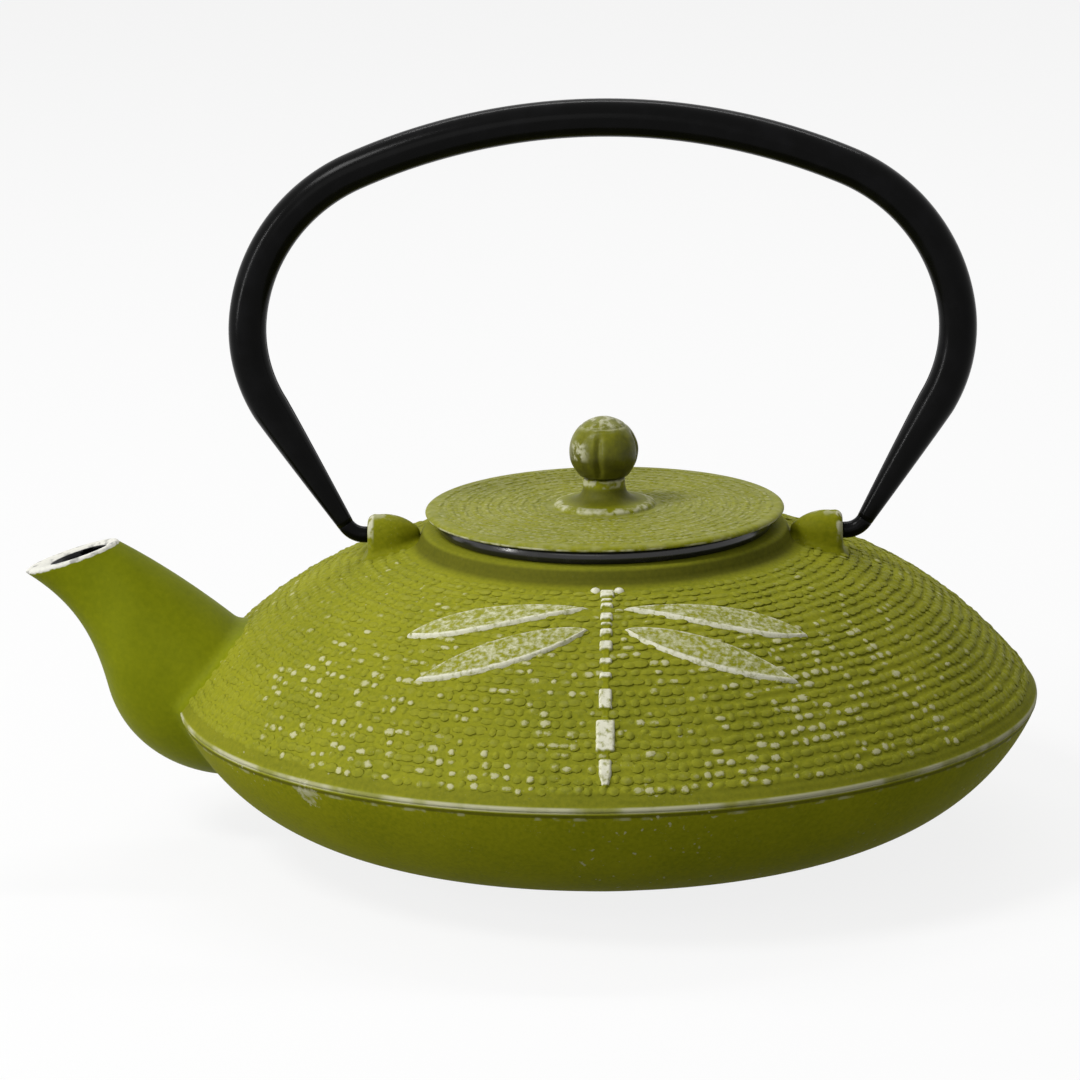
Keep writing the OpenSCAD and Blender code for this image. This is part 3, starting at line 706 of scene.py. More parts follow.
def bead_tree():
    """Lays one bead at each place, turned along its row, in a random size and with its luck."""
    tree = Tree("beads", Spacing=0.0023, Length=0.0026, Width=0.0019, Height=0.0003, Missing=0.0,
                Stray=0.0004, Sink=0.00003, Right_Share=0.6, Arc_Radius=0.0266, Arc_Height=-0.0116,
                Seed=3, Onto=shoulder, Paint=plain_paint)
    seed = tree.get("Seed")
    places, outward, normal = bead_places(tree)
    lean = tree.node("FunctionNodeAlignRotationToVector", {"axis": "Z"}, Vector=normal)
    turned_to = tree.node("FunctionNodeAlignRotationToVector", {"axis": "X", "pivot_axis": "Z"},
                          Rotation=lean.outputs[0],
                          Vector=tree.vector("CROSS_PRODUCT", (0.0, 0.0, 1.0), outward))
    spread = tree.node("FunctionNodeRandomValue", {"data_type": "FLOAT_VECTOR"}, s0=(0.60, 0.75, 0.45),
                       s1=(1.35, 1.20, 1.30), Seed=seed)
    toward = tree.node("ShaderNodeSeparateXYZ", Vector=outward).outputs[0]
    proud = tree.node("ShaderNodeMapRange", s0=toward, s1=0.1, s2=0.8, s3=1.0, s4=tree.get("Right_Share"))
    form = tree.vector("MULTIPLY", spread.outputs[0], tree.xyz(X=1.0, Y=1.0, Z=proud.outputs[0]))
    laid = tree.node("GeometryNodeInstanceOnPoints", Points=places, Instance=bead_shape(tree),
                     Rotation=turned_to.outputs[0], Scale=form)
    luck = tree.node("FunctionNodeRandomValue", {"data_type": "FLOAT"}, Seed=tree.math("ADD", seed, 5.0))
    drawn = tree.node("GeometryNodeStoreNamedAttribute", {"data_type": "FLOAT", "domain": "INSTANCE"},
                      Geometry=laid.outputs[0], Name="luck", Value=luck.outputs[1])
    tree.end(drawn.outputs[0], tree.get("Paint"))
    return tree


beads = bead_tree()
print("bead tree:", len(beads.group.nodes), "nodes")

# %% [markdown]
# The rows run level round the pot, one for each cord, from just over the ridge to just under the
# neck. Each is drawn as a closed curve on the shoulder, and the tree above does the rest.

# %% Rows of beads
def circles(name, radii_and_heights):
    """Round curves about the upright axis, one for each row."""
    data = bpy.data.curves.new(name, "CURVE")
    data.dimensions = "3D"
    for r, z in radii_and_heights:
        spline = data.splines.new("POLY")
        count = 180
        spline.points.add(count - 1)
        a = np.arange(count) * 2 * math.pi / count
        corners = np.stack([r * np.cos(a), r * np.sin(a), z + 0 * a, 1 / MM + 0 * a], -1) * MM
        spline.points.foreach_set("co", corners.ravel())
        spline.use_cyclic_u = True
    made = bpy.data.objects.new(name, data)
    bpy.context.scene.collection.objects.link(made)
    return made


LOWEST_ROW, HIGHEST_ROW = 31.8, 62.2
rows = []
for k in range(ROW_COUNT):
    a = math.radians(NECK_ANGLE) + (FIRST_ROW + k * ROW_PITCH) / SHOULDER_R
    height = SHOULDER_MID[1] + SHOULDER_R * math.cos(a)
    if LOWEST_ROW < height < HIGHEST_ROW:
        rows.append((SHOULDER_MID[0] + SHOULDER_R * math.sin(a), height))
shoulder_beads = beads.run(circles("rows", rows), "shoulder_beads", Paint=cord_paint)
settle(shoulder_beads, "pot")
print("rows:", len(rows))

# %% [markdown]
# ## The spout
# The spout is cast with the pot. Its side view is two flowing edges; between them lie oval rings
# that turn slowly from upright to nearly level at the mouth. Two helpers tell how far a point is
# from the pot's side and put it there, which the joint between spout and pot needs.

# %% Spout rings
ROOT_X, ROOT_Z, SPOUT_LONG, SPOUT_TALL = -68, 14.5, 52.3, 42.5


def spout_point(share):
    return (ROOT_X - share[0] * SPOUT_LONG, ROOT_Z + share[1] * SPOUT_TALL)


SPOUT_TOP = [spout_point(p) for p in ((0, 0.553), (0.191, 0.788), (0.402, 0.988), (0.627, 1.146))]
SPOUT_LOW = [spout_point(p) for p in ((0, 0), (0.344, -0.096), (0.618, 0.092), (0.684, 0.412))]
SPOUT_LIP = [spout_point(p) for p in ((0.684, 0.412), (0.730, 0.647), (0.793, 0.835), (1, 1))]
UPRIGHT = 0.55


def spout_edges(u):
    u = np.asarray(u, float)
    top = curve(SPOUT_TOP, u * (2 - u))
    low = np.where((u < UPRIGHT)[..., None], curve(SPOUT_LOW, np.clip(u / UPRIGHT, 0, 1)),
                   curve(SPOUT_LIP, np.clip((u - UPRIGHT) / (1 - UPRIGHT), 0, 1)))
    return top, low


def spout_rings(u, turn, inset=0.0, shift=0.0, reach=0.0, long=1.0):
    """Points of the rings at shares u, at angles turn from the top, moved in by inset. The ring's
    length is cut by long times as much as its width."""
    top, low = spout_edges(u)
    span = top - low
    half = np.linalg.norm(span, axis=-1, keepdims=True) / 2
    slim = np.asarray(long)[..., None] * np.asarray(inset)[..., None]
    up = span / (2 * half)
    out = np.stack([-up[..., 1], up[..., 0]], -1)
    middle = (top + low) / 2 + np.asarray(shift)[..., None] * up + np.asarray(reach)[..., None] * out
    wide = curve(np.array([[16.5], [16.5], [7.2], [6.4]]), u)
    inset = np.asarray(inset)[..., None]
    side = (half - slim)[..., None, :] * np.cos(turn)[:, None] * up[..., None, :] + middle[..., None, :]
    across = (wide - inset) * np.sin(turn)
    return np.stack([side[..., 0], across, side[..., 1]], -1)


def pot_gap(p):
    """Distance outside the pot's smooth side (negative inside)."""
    r, z = np.hypot(p[..., 0], p[..., 1]), p[..., 2]
    upper = np.hypot(r - SHOULDER_MID[0], z - SHOULDER_MID[1]) - skin_radius(r)
    lower = np.hypot(r - BOWL_MID[0], z - BOWL_MID[1]) - BOWL_R
    return np.where(z > RIDGE_Z, upper, lower)


def to_pot(p):
    """The nearest point on the pot's side, a hair under its skin."""
    r, z = np.hypot(p[..., 0], p[..., 1]), p[..., 2]
    upper = (z > RIDGE_Z)[..., None]
    mid = np.where(upper, SHOULDER_MID, BOWL_MID)
    radius = np.where(upper, skin_radius(r)[..., None], BOWL_R) - 0.12
    flat = np.stack([r, z], -1) - mid
    flat = mid + flat / np.linalg.norm(flat, axis=-1, keepdims=True) * radius
    return np.stack([p[..., 0] / r * flat[..., 0], p[..., 1] / r * flat[..., 0], flat[..., 1]], -1)


print("spout mouth from", spout_edges(1.0)[0].round(1), "to", spout_edges(1.0)[1].round(1))

# %% [markdown]
# A casting has no sharp inside corner, because the sand would break there. So each line of the
# spout stops one fillet short of the pot and bends over onto it. At the mouth the same rings turn
# round the lip and go back down as the channel.

# %% Spout outside with its fillet
LIP_WALL = 2.4


def along_line(run, line, at):
    """Points of a line at distances along it."""
    return np.stack([np.interp(at, run, line[:, i]) for i in range(3)], -1)


def spout_skin():
    sides, fillet = 96, 2.6
    turn = np.arange(sides) * 2 * math.pi / sides
    fine = np.linspace(0, 1, 401)
    lines = spout_rings(fine, turn)
    skin = []
    for k in range(sides):
        line = lines[:, k]
        first = int(np.argmax(pot_gap(line) > 0))
        meet = line[first]
        run = np.concatenate([[0], np.cumsum(np.linalg.norm(np.diff(line, axis=0), axis=1))])
        start = along_line(run, line, run[first] + fillet)
        centre = lines[first].mean(0)
        away = meet - centre
        r = math.hypot(meet[0], meet[1])
        mid = SHOULDER_MID if meet[2] > RIDGE_Z else BOWL_MID
        normal = np.array([meet[0] / r * (r - mid[0]), meet[1] / r * (r - mid[0]), meet[2] - mid[1]])
        normal /= np.linalg.norm(normal)
        away -= normal * (away @ normal)
        foot = to_pot(meet + away / np.linalg.norm(away) * fillet)
        bend = np.linspace(0, 1, 12)[:, None]
        corner = meet * 0.92 + (start + foot) / 2 * 0.08
        blend = (1 - bend) ** 2 * foot + 2 * bend * (1 - bend) * corner + bend ** 2 * start
        rest = np.linspace(run[first] + fillet, run[-1], 56)[1:]
        skin.append(np.concatenate([blend, along_line(run, line, rest)]))
    outside = np.swapaxes(np.array(skin), 0, 1)
    lip = []
    steps = ((0.10, 0.22), (0.45, 0.50), (1.0, 0.55), (1.6, 0.42), (2.1, 0.1), (LIP_WALL, -0.5))
    for inset, reach in steps:
        share = inset / LIP_WALL
        ring = spout_rings(np.array([1.0]), turn, np.array([inset]), np.array([1.5 * share]),
                           np.array([reach]), 1 + 0.95 * share)
        lip.append(ring[0])
    channel_u = np.concatenate([[0.985], np.linspace(0.95, 0.0, 34)])
    ease = np.clip((channel_u - 0.7) / 0.3, 0, 1)
    channel = spout_rings(channel_u, turn, 2.6 - 0.2 * ease, 1.5 * ease, long=1 + 0.95 * ease)
    return outside, np.array(lip), channel


outside, lip, channel = spout_skin()
rings = np.concatenate([outside, lip, channel])
print("spout:", rings.shape[0], "rings of", rings.shape[1], "points")

# %% [markdown]
# The lip is wiped bare like the ridge, and the channel is enamelled black. Both follow the rings,
# so the mesh stores two numbers at each point: how bare it is and how far inside it lies.

# %% Spout paint and mesh
def spout_finish():
    finish = Finish("spout_paint")
    bare, deep = finish.attribute("bare"), finish.attribute("deep")
    cloud, fine, grit = finish.noise(17.0, 3.0), finish.noise(1.1, 3.0, 0.6), finish.noise(0.35)
    cloudy = (cloud * 0.5 + fine * 0.3).ramp(0.15, 0.70)
    # A darker, greener copy of the pot's green: painted shade on the spout.
    green = finish.mix((0.140, 0.165, 0.002), (0.245, 0.268, 0.005), cloudy)
    chips = (bare + finish.noise(1.6, 3.0) * 0.55 - 0.25).ramp(0.42, 0.62)
    pale = finish.mix((0.74, 0.73, 0.66), (0.30, 0.30, 0.28), finish.noise(2.2, 2.0).ramp(0.5, 0.72))
    colour = finish.mix(finish.mix(green, pale, chips), (0.010, 0.010, 0.010), deep.ramp(0.4, 0.6))
    height = fine * 0.6 + grit * 0.3
    return finish.set(Base_Color=colour, Roughness=fine * 0.12 + 0.46 - deep * 0.2,
                      Normal=finish.bump(height, 0.09, 0.7), Specular_IOR_Level=0.05)


def spout():
    n, m = rings.shape[:2]
    bare = np.zeros((n, m))
    a = len(outside)
    bare[a - 1] = 0.62
    bare[a:a + 6] = np.array([1, 1, 1, 0.9, 0.8, 0.6])[:, None]
    bare[a - 2] = 0.2
    deep = np.zeros((n, m))
    deep[a + 5:] = 1
    deep[a + 4] = 0.3
    return piece("spout_iron", rings.reshape(-1, 3), [grid(n, m), seal(n, m)], spout_finish(), "pot",
                 ["spout"], extra={"bare": bare.ravel(), "deep": deep.ravel()})


spout()

# %% [markdown]
# ## Lugs
# Each end of the bail hooks into a lug: a half drop with a flat face outwards and a round nose
# towards the lid. Seen from above it has one outline, so rings of that outline make the whole lug:
# they rise over the crest as half circles, drop straight down and flare out into the shoulder.

# %% Lug mesh
LUG_FACE, LUG_R, LUG_LENGTH, LUG_NOSE, LUG_CREST, LUG_EDGE = 49.0, 4.2, 10.8, 2.2, 3.4, 1.6
PIVOT_Z = 64.2
BORE_R, BORE_DEPTH = 1.6, 6.4


def bow(middle, radius, first, last, count):
    """Points round a middle from angle first to last, in radians from the second axis."""
    return [(middle[0] + radius * math.sin(t), middle[1] + radius * math.cos(t))
            for t in np.linspace(first, last, count)]


def lug_bare(finish):
    """The face's rounded edge and the crest are wiped bare in patches."""
    x, z = finish.axis("X").math("ABSOLUTE", finish.axis("X")), finish.axis("Z")
    patch = finish.noise(2.2, 3.0).ramp(0.42, 0.58)
    return x.band(48.7, 1.3) * patch * z.ramp(61.5, 67.0) * 0.9 + z.ramp(67.6, 68.5) * patch * 0.5


lug_paint = painted("lug_paint", lug_bare, shine=0.05, tone=0.82)


def lug(side):
    run = LUG_LENGTH - LUG_NOSE - LUG_CREST
    big = (run ** 2 + LUG_R ** 2 - LUG_NOSE ** 2) / (2 * (LUG_R - LUG_NOSE))
    swing = math.atan2(run, big - LUG_R)
    face = [(0.0, y) for y in np.linspace(0.0, LUG_R - LUG_EDGE - 0.2, 6)]
    rim = [(LUG_EDGE - LUG_EDGE * math.cos(t), LUG_R - LUG_EDGE + LUG_EDGE * math.sin(t))
           for t in np.linspace(0.06, 1.5, 10)]
    flank = bow((LUG_CREST, LUG_R - big), big, -0.10, swing, 14)
    nose = bow((LUG_CREST + run, 0), LUG_NOSE, swing + 0.15, math.pi / 2, 9)
    half = np.array(face + rim + flank + nose)
    full = np.concatenate([half, (half * (1, -1))[::-1][1:-1]])
    after, before = np.roll(full, -1, 0), np.roll(full, 1, 0)
    way = after - before
    normal = np.stack([-way[:, 1], way[:, 0]], -1)
    normal /= np.linalg.norm(normal, axis=1, keepdims=True)
    rings = []
    for t in np.linspace(90, 0, 15):
        a = math.radians(t)
        rise = PIVOT_Z + np.abs(full[:, 1]) * math.sin(a)
        rings.append(np.stack([full[:, 0], full[:, 1] * math.cos(a), rise], -1))
    reach, flare = 1.5, np.linspace(0, 90, 7)
    for t in flare:
        a = math.radians(t)
        plan = full + normal * reach * (1 - math.cos(a))
        r_x = LUG_FACE - plan[:, 0]
        ground = shoulder_height(r_x, plan[:, 1]) + 0.05
        top = np.minimum(ground + reach * (1 - math.sin(a)), PIVOT_Z)
        rings.append(np.stack([plan[:, 0], plan[:, 1], top if t < 90 else ground - 0.25], -1))
    points = np.array(rings)
    n, m = points.shape[:2]
    points = points.reshape(-1, 3)
    points[:, 0] = side * (LUG_FACE - points[:, 0])
    base = len(points)
    points = np.concatenate([points, [(side * (LUG_FACE - 4), 0, 55.0)]])
    ring = np.arange(m)
    last = (n - 1) * m
    fan = np.stack([last + ring, last + (ring + 1) % m, np.full(m, base)], -1)
    name = "lug_rear_iron" if side > 0 else "lug_front_iron"
    made = piece(name, points, [grid(n, m), fan], lug_paint)
    bpy.context.view_layer.update()
    mouth, end = (side * (LUG_FACE + 1), 0, PIVOT_Z), (side * (LUG_FACE - BORE_DEPTH), 0, PIVOT_Z)
    drill(made, *rod(mouth, end, BORE_R))
    return settle(made, "pot", ["lug_rear" if side > 0 else "lug_front"])


for side in (-1, 1):
    lug(side)

# %% [markdown]
# ## The dragonfly
# The dragonfly is cast as low relief on the front of the shoulder and wiped harder than the rest.
# Each wing is a sheet of points between two curves, laid on the shoulder: a raised rim runs round
# it and the middle lies a little lower, so the paint stays there in speckles.

# %% Wings
HALF_SPAN, EYES_Y, BODY_LENGTH, SHIFT = 39.8, 41.4, 44.9, 1.2
TIP_HALF = 0.05   # the tips stay this wide either side of their line, so that no face folds flat
BACK = 0.25       # how far the relief reaches into the shoulder
UPPER_WING = (((0.075, 0.165), (0.30, 0.094), (0.80, 0.027), (1, 0.149)),
              ((0.075, 0.165), (0.352, 0.227), (0.779, 0.307), (1, 0.149)))
LOWER_WING = (((0.085, 0.316), (0.176, 0.249), (0.704, 0.330), (0.95, 0.432)),
              ((0.085, 0.316), (0.251, 0.472), (0.628, 0.552), (0.95, 0.432)))


def insect(share):
    return np.stack([share[..., 0] * HALF_SPAN, -EYES_Y - share[..., 1] * BODY_LENGTH], -1)


def relief_finish():
    """Cream where bare is high; speckled green between."""
    finish = Finish("relief_paint")
    bare = finish.attribute("bare")
    fine, mottle = finish.noise(0.9, 3.0, 0.6), finish.noise(1.15, 2.0, 0.65)
    green = finish.mix(MOSS, LIME, (finish.noise(17.0, 3.0) * 0.45 + fine * 0.75).ramp(0.22, 0.86))
    rubbed = (bare + mottle * 2.1 - 1.05).ramp(0.06, 0.92)
    worn = (bare + finish.noise(1.2, 2.0) * 0.8 - 0.4).ramp(0.35, 0.75)
    pale = finish.mix((0.58, 0.58, 0.37), (0.78, 0.77, 0.61), worn)
    colour = finish.mix(green, pale, rubbed)
    return finish.set(Base_Color=colour, Roughness=fine * 0.16 + 0.46, Specular_IOR_Level=SHINE,
                      Normal=finish.bump(fine * 0.4 + mottle * 0.6, 0.07, 0.6))


relief_paint = relief_finish()


def wing(edges, side):
    long, wide = 90, 31
    t = np.linspace(0, 1, long)[:, None]
    v = np.sin(np.linspace(-1, 1, wide) * math.pi / 2)
    upper, lower = insect(curve(edges[0], t[:, 0])), insect(curve(edges[1], t[:, 0]))
    middle, half = (upper + lower) / 2, (lower - upper) / 2 - (0, TIP_HALF)
    plan = middle[:, None] + v[None, :, None] * half[:, None]
    width = np.maximum(np.linalg.norm(half, axis=1), 0.02)[:, None]
    edge = (1 - np.abs(v))[None] * width
    rim = np.where(v > 0, 1.0, 0.7)[None]
    rise = np.sin(np.clip(edge / 0.75, 0, 1) * math.pi / 2) ** 0.8
    inner = np.clip((edge - rim * 0.6) / (rim * 0.6), 0, 1)
    inner = inner * inner * (3 - 2 * inner)
    pits = soft_noise(plan[..., 0] * 2.2, plan[..., 1] * 2.2, 9, 2)
    lift = -BACK + 1.2 * rise - inner * 0.20 - 0.07 * inner * pits
    points = on_shoulder(plan[..., 0] * side + SHIFT, plan[..., 1], lift)
    bare = np.where(edge < 0.08, 0.0, 0.38 + (1 - inner) * np.where(v > 0, 0.42, 0.30)[None])
    return points.reshape(-1, 3), bare.ravel(), grid(long, wide, wrap=False)


def gather(parts):
    """Joins several grids of points, numbers and faces into one."""
    points, numbers, faces, start = [], [], [], 0
    for p, number, face in parts:
        points.append(p)
        numbers.append(number)
        faces.append(face + start)
        start += len(p)
    return np.concatenate(points), np.concatenate(numbers), faces


def close_under(points, numbers, faces, depth):
    """Gives an open sheet on the shoulder a back, so that it is a closed body."""
    flat = np.concatenate(faces)
    r = np.hypot(points[:, 0], points[:, 1])[:, None]
    inward = np.concatenate([points[:, :2] / r, np.full_like(r, 1.2)], -1)
    back = points - inward * depth
    seen = collections.Counter()
    for face in flat:
        for a, b in zip(face, np.roll(face, -1)):
            seen[(int(a), int(b))] += 1
    n = len(points)
    walls = [(b, a, a + n, b + n) for (a, b) in seen if (b, a) not in seen]
    return (np.concatenate([points, back]), np.concatenate([numbers, numbers * 0]),
            [flat, flat[:, ::-1] + n, np.array(walls)])


parts = [wing(edges, side) for edges in (UPPER_WING, LOWER_WING) for side in (-1, 1)]
points, bare, faces = close_under(*gather(parts), BACK)
piece("dragonfly_wings_iron", points, faces, relief_paint, "pot", ["dragonfly_wings"],
      extra={"bare": bare})

# %% [markdown]
# The body is a narrow spine that carries a row of raised bars: a head with two eyes, short links
# down the waist, then a long link, a wide one and the tail.

# %% Dragonfly body
BARS = ((41.7, 44.6, 1.55), (45.1, 46.4, 1.3), (46.8, 48.7, 1.35), (50.3, 52.7, 1.35), (53.4, 54.6, 1.3),
        (55.3, 57.4, 1.35), (58.7, 61.4, 1.4), (63.1, 64.9, 1.35), (66.4, 68.0, 1.3), (69.9, 74.2, 1.4),
        (75.7, 81.2, 2.0), (81.9, 86.2, 1.35))


HEAD_Y, TAIL_Y, SPINE_HALF = 41.5, 86.3, 0.95


def spine():
    y = np.linspace(HEAD_Y, TAIL_Y, 460)[:, None]
    v = np.linspace(-1, 1, 15)
    on, width = np.zeros_like(y), np.full_like(y, SPINE_HALF)
    for first, last, half in BARS:
        inside = np.clip(np.minimum(y - first, last - y) / 0.5, 0, 1)
        inside = inside * inside * (3 - 2 * inside)
        on = np.maximum(on, inside)
        width = np.maximum(width, SPINE_HALF + (half - SPINE_HALF) * np.sqrt(inside))
    taper = np.clip((TAIL_Y - y) / 2.2, 0, 1) ** 0.5
    width = width * (0.25 + 0.75 * taper)
    x = v * width
    crown = np.clip((1 - np.abs(v)) * width / 0.45, 0, 1) ** 0.5
    lift = -BACK + crown * (0.62 + 0.53 * on * taper)
    points = on_shoulder(x + SHIFT, -y + 0 * x, lift)
    bare = (on - 0.25 + 0 * x) * (crown > 0.4)
    return points.reshape(-1, 3), bare.ravel(), grid(*x.shape, wrap=False)


def eye(side):
    r = np.linspace(1, 0, 7)[:, None]
    a = np.arange(24) * 2 * math.pi / 24
    x = SHIFT + side * 2.35 + 1.15 * r * np.cos(a)
    y = -HEAD_Y + r * np.sin(a)
    lift = -BACK + 1.12 * np.sqrt(1 - r ** 2) + 0 * a
    return on_shoulder(x, y, lift).reshape(-1, 3), (0.9 + 0 * x).ravel(), grid(7, 24)


points, bare, faces = close_under(*gather([spine(), eye(-1), eye(1)]), BACK)
piece("dragonfly_body_iron", points, faces, relief_paint, "pot", ["dragonfly_body"],
      extra={"bare": bare})

# %% [markdown]
# ## Lid
# The lid is a thin cast disc with a low crown and a boss for the knob. Its edge is wiped, so a
# broken pale line shows where it meets the black step underneath. Outlines turned about the axis
# give both, and the bead tree lays fine rows of beads on top.

# %% Lid iron
LID_R, LID_UNDER, LID_MID, ROLL_MID = 37.0, 68.8, 70.0, 35.8
CIRCLES_FROM, CIRCLES_TO = 12.6, 35.4
BOSS_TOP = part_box("lid_casting")[1].z / MM


def lid_bare(finish):
    """The edge by the hand, the foot and neck of the boss, and a faint veil over the top."""
    x, y, z = finish.axis("X"), finish.axis("Y"), finish.axis("Z")
    r = (x * x + y * y) ** 0.5
    edge = r.band(36.8, 0.6) * z.band(68.9, 0.5) * finish.noise(3.6, 3.0).ramp(0.40, 0.60)
    edge = edge * (y * -1.0).ramp(-20.0, 26.0) * 0.8
    foot = r.band(9.7, 1.3) * z.ramp(LID_MID - 0.1, LID_MID + 0.6)
    foot = foot * finish.noise(1.8, 3.0).ramp(0.40, 0.66) * 0.75
    neck = r.band(4.4, 1.0) * z.band(BOSS_TOP - 0.5, 1.3) * finish.noise(2.2, 2.0).ramp(0.46, 0.60) * 0.7
    veil = finish.noise(2.6, 3.0, 0.6).ramp(0.35, 0.75) * 0.16 * z.ramp(LID_MID + 0.4, LID_MID)
    return edge + foot + neck + veil


def boss_painted_shade(finish):
    """Painted shade in the hollow of the boss."""
    x, y, z = finish.axis("X"), finish.axis("Y"), finish.axis("Z")
    return ((x * x + y * y) ** 0.5).ramp(9.4, 5.4) * z.ramp(BOSS_TOP - 0.9, BOSS_TOP - 2.4) * 0.62


def lid_bead_worn(finish):
    """Beads rubbed faintly pale all over the lid, some of them more."""
    crown, luck = finish.attribute("crown"), finish.attribute("luck")
    return (crown + finish.noise(0.9, 2.0) * 0.8 - 0.4).ramp(0.2, 1.0) * (luck.ramp(0.2, 1.0) * 0.28 + 0.05)


lid_paint = painted("lid_paint", lid_bare, boss_painted_shade, skin=0.12, tone=0.9)
lid_bead_paint = painted("lid_bead_paint", lid_bead_worn, skin=0.12, tone=0.88)


def lid_top(r):
    """Height of the lid's smooth top at a radius."""
    return LID_MID - 0.1 * (r / LID_R) ** 2


def lid_iron():
    crown = [(r, lid_top(r) + 0.06 * math.cos(2 * math.pi * (r - CIRCLES_FROM) / 2.4) * (12 < r < 34.6))
             for r in np.linspace(ROLL_MID, 10.9, 160)]
    edge = [(0, LID_UNDER), (34.0, LID_UNDER), (36.5, LID_UNDER), (36.85, LID_UNDER + 0.08),
            (LID_R, LID_UNDER + 0.35)]
    edge += [(ROLL_MID + 1.2 * math.cos(t), lid_top(ROLL_MID) - 0.72 + 0.72 * math.sin(t))
             for t in np.linspace(0.05, 1.45, 9)]
    foot = [(10.5, LID_MID - 0.02), (10.45, LID_MID + 0.35), (10.1, LID_MID + 0.75),
            (9.5, LID_MID + 1.0), (8.9, LID_MID + 1.12)]
    sweep_r = BOSS_TOP - 0.5 - (LID_MID + 1.15)
    sweep = [(4.3 + (8.6 - 4.3) * (1 - math.sin(t)) ** 1.5, LID_MID + 1.18 + sweep_r * (1 - math.cos(t)))
             for t in np.linspace(0.06, math.pi / 2, 12)]
    top = [(4.32, BOSS_TOP - 0.3), (4.2, BOSS_TOP - 0.08), (3.9, BOSS_TOP), (0, BOSS_TOP)]
    outline = edge + crown + foot + sweep + top
    return piece("lid_iron", turned(outline, 256), [grid(len(outline), 256)], lid_paint, "lid",
                 ["lid_casting"])


lid = lid_iron()
lid_rows = [(r, lid_top(r)) for r in np.arange(CIRCLES_FROM, CIRCLES_TO, 1.2)]
lid_beads = beads.run(circles("lid_rows", lid_rows), "lid_beads", Spacing=0.0014, Length=0.0017,
                      Width=0.0012, Height=0.00020, Stray=0.00025, Arc_Radius=0.0, Arc_Height=-1.0,
                      Missing=0.10, Right_Share=1.0, Onto=lid, Paint=lid_bead_paint)
settle(lid_beads, "lid")
print("lid rows:", len(lid_rows))

# %% [markdown]
# The underside is enamelled black like the pot's inside, and its skin covers the deep ring that
# centres the lid in the neck. The rounded step at the rim is the dark line seen below the lid. It
# is one turned outline that starts and ends on the axis.

# %% Lid lining
def lid_lining():
    nose = [(33.9 + 0.82 * math.sin(t), 67.1 - 1.42 * math.cos(t))
            for t in np.linspace(0.1, math.pi - 0.35, 14)]
    ring = [(0, 67.9), (23.2, 67.9), (24.2, 67.6), (24.6, 66.9), (24.6, 58.7), (24.75, 58.3),
            (25.2, 58.12), (26.2, 58.12), (26.7, 58.3), (26.88, 58.8), (26.88, 64.9), (27.05, 65.5),
            (27.6, 65.68)]
    top = [(34.2, 68.5), (34.2, LID_UNDER - 0.02), (0, LID_UNDER - 0.02)]
    outline = ring + nose + top
    return piece("lid_lining", turned(outline, 192), [grid(len(outline), 192)], black_enamel, "lid",
                 ["lid_enamel"])


lid_lining()

# %% [markdown]
# ## Knob
# The knob is its own casting, held by a screw from below. It is a ball drawn down to a narrow
# joint, with grooves down its sides and a crease round the crown, so its points are turned first
# and then pressed in along each groove.

# %% Knob
def knob_bare(finish):
    """The crown and the flank nearest the hand are rubbed pale."""
    x, y, z = finish.axis("X"), finish.axis("Y"), finish.axis("Z")
    patch = finish.noise(1.5, 3.0).ramp(0.44, 0.64)
    flank = (x * -1.0).ramp(2.4, 5.4) * (y * -1.0).ramp(1.5, 4.0) * z.band(KNOB_Z + 0.8, 2.4)
    return (z.ramp(KNOB_Z + 4.4, KNOB_Z + 6.2) * 0.65 + flank * 0.9) * patch


def knob_shade_and_tone(finish):
    """Darker towards the joint, which is painted shade, over a darker mottled tone all over."""
    lower = finish.axis("Z").ramp(KNOB_Z + 6.0, KNOB_Z - 4.0)
    return lower * 0.46 + finish.noise(2.6, 3.0).ramp(0.35, 0.7) * 0.2 + 0.18


KNOB_R = 7.1
KNOB_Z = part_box("knob")[1].z / MM - KNOB_R
knob_paint = painted("knob_paint", knob_bare, knob_shade_and_tone, skin=0.09, gloss=0.24, shine=0.17, tone=0.84)


def knob():
    low = BOSS_TOP + 0.55
    neck = [(0, BOSS_TOP + 0.02), (3.45, BOSS_TOP + 0.02), (3.45, low), (4.2, low + 0.02),
            (4.45, low + 0.25)]
    start = math.asin(5.0 / KNOB_R)
    ball = bow((0, KNOB_Z), KNOB_R, math.pi - start, 0, 80)
    outline = np.array(neck + ball)
    outline[:, 0] = np.maximum(outline[:, 0], 0)
    steps = 160
    points = turned(outline, steps).reshape(-1, steps, 3)
    centre = np.array([0, 0, KNOB_Z])
    rel = points - centre
    up = rel[..., 2] / KNOB_R
    angle = np.degrees(np.arctan2(rel[..., 1], rel[..., 0]))
    press = np.zeros(up.shape)
    for k in range(4):
        off = np.abs((angle + 98 - 90 * k + 180) % 360 - 180)
        flank = np.clip(1 - off / 9.0, 0, 1)
        upper, lower = np.clip((0.62 - up) / 0.18, 0, 1), np.clip((up + 0.75) / 0.25, 0, 1)
        press = np.maximum(press, flank * upper * lower)
    crease = np.exp(-((up - 0.76) / 0.018) ** 2) * 0.16
    uneven = soft_noise(points[..., 0], points[..., 1] + points[..., 2], 5, 2)
    shrink = 1 - (press * 0.75 + crease + 0.05 * uneven) / KNOB_R
    shrink = np.where((points[..., 2] > low + 0.3), shrink, 1)[..., None]
    points = centre + rel * shrink
    return piece("knob_iron", points.reshape(-1, 3), [grid(len(outline), steps)], knob_paint, "lid",
                 ["knob"])


knob()
for fastener in ("knob_washer", "knob_screw"):
    dress(fastener, bright_steel)

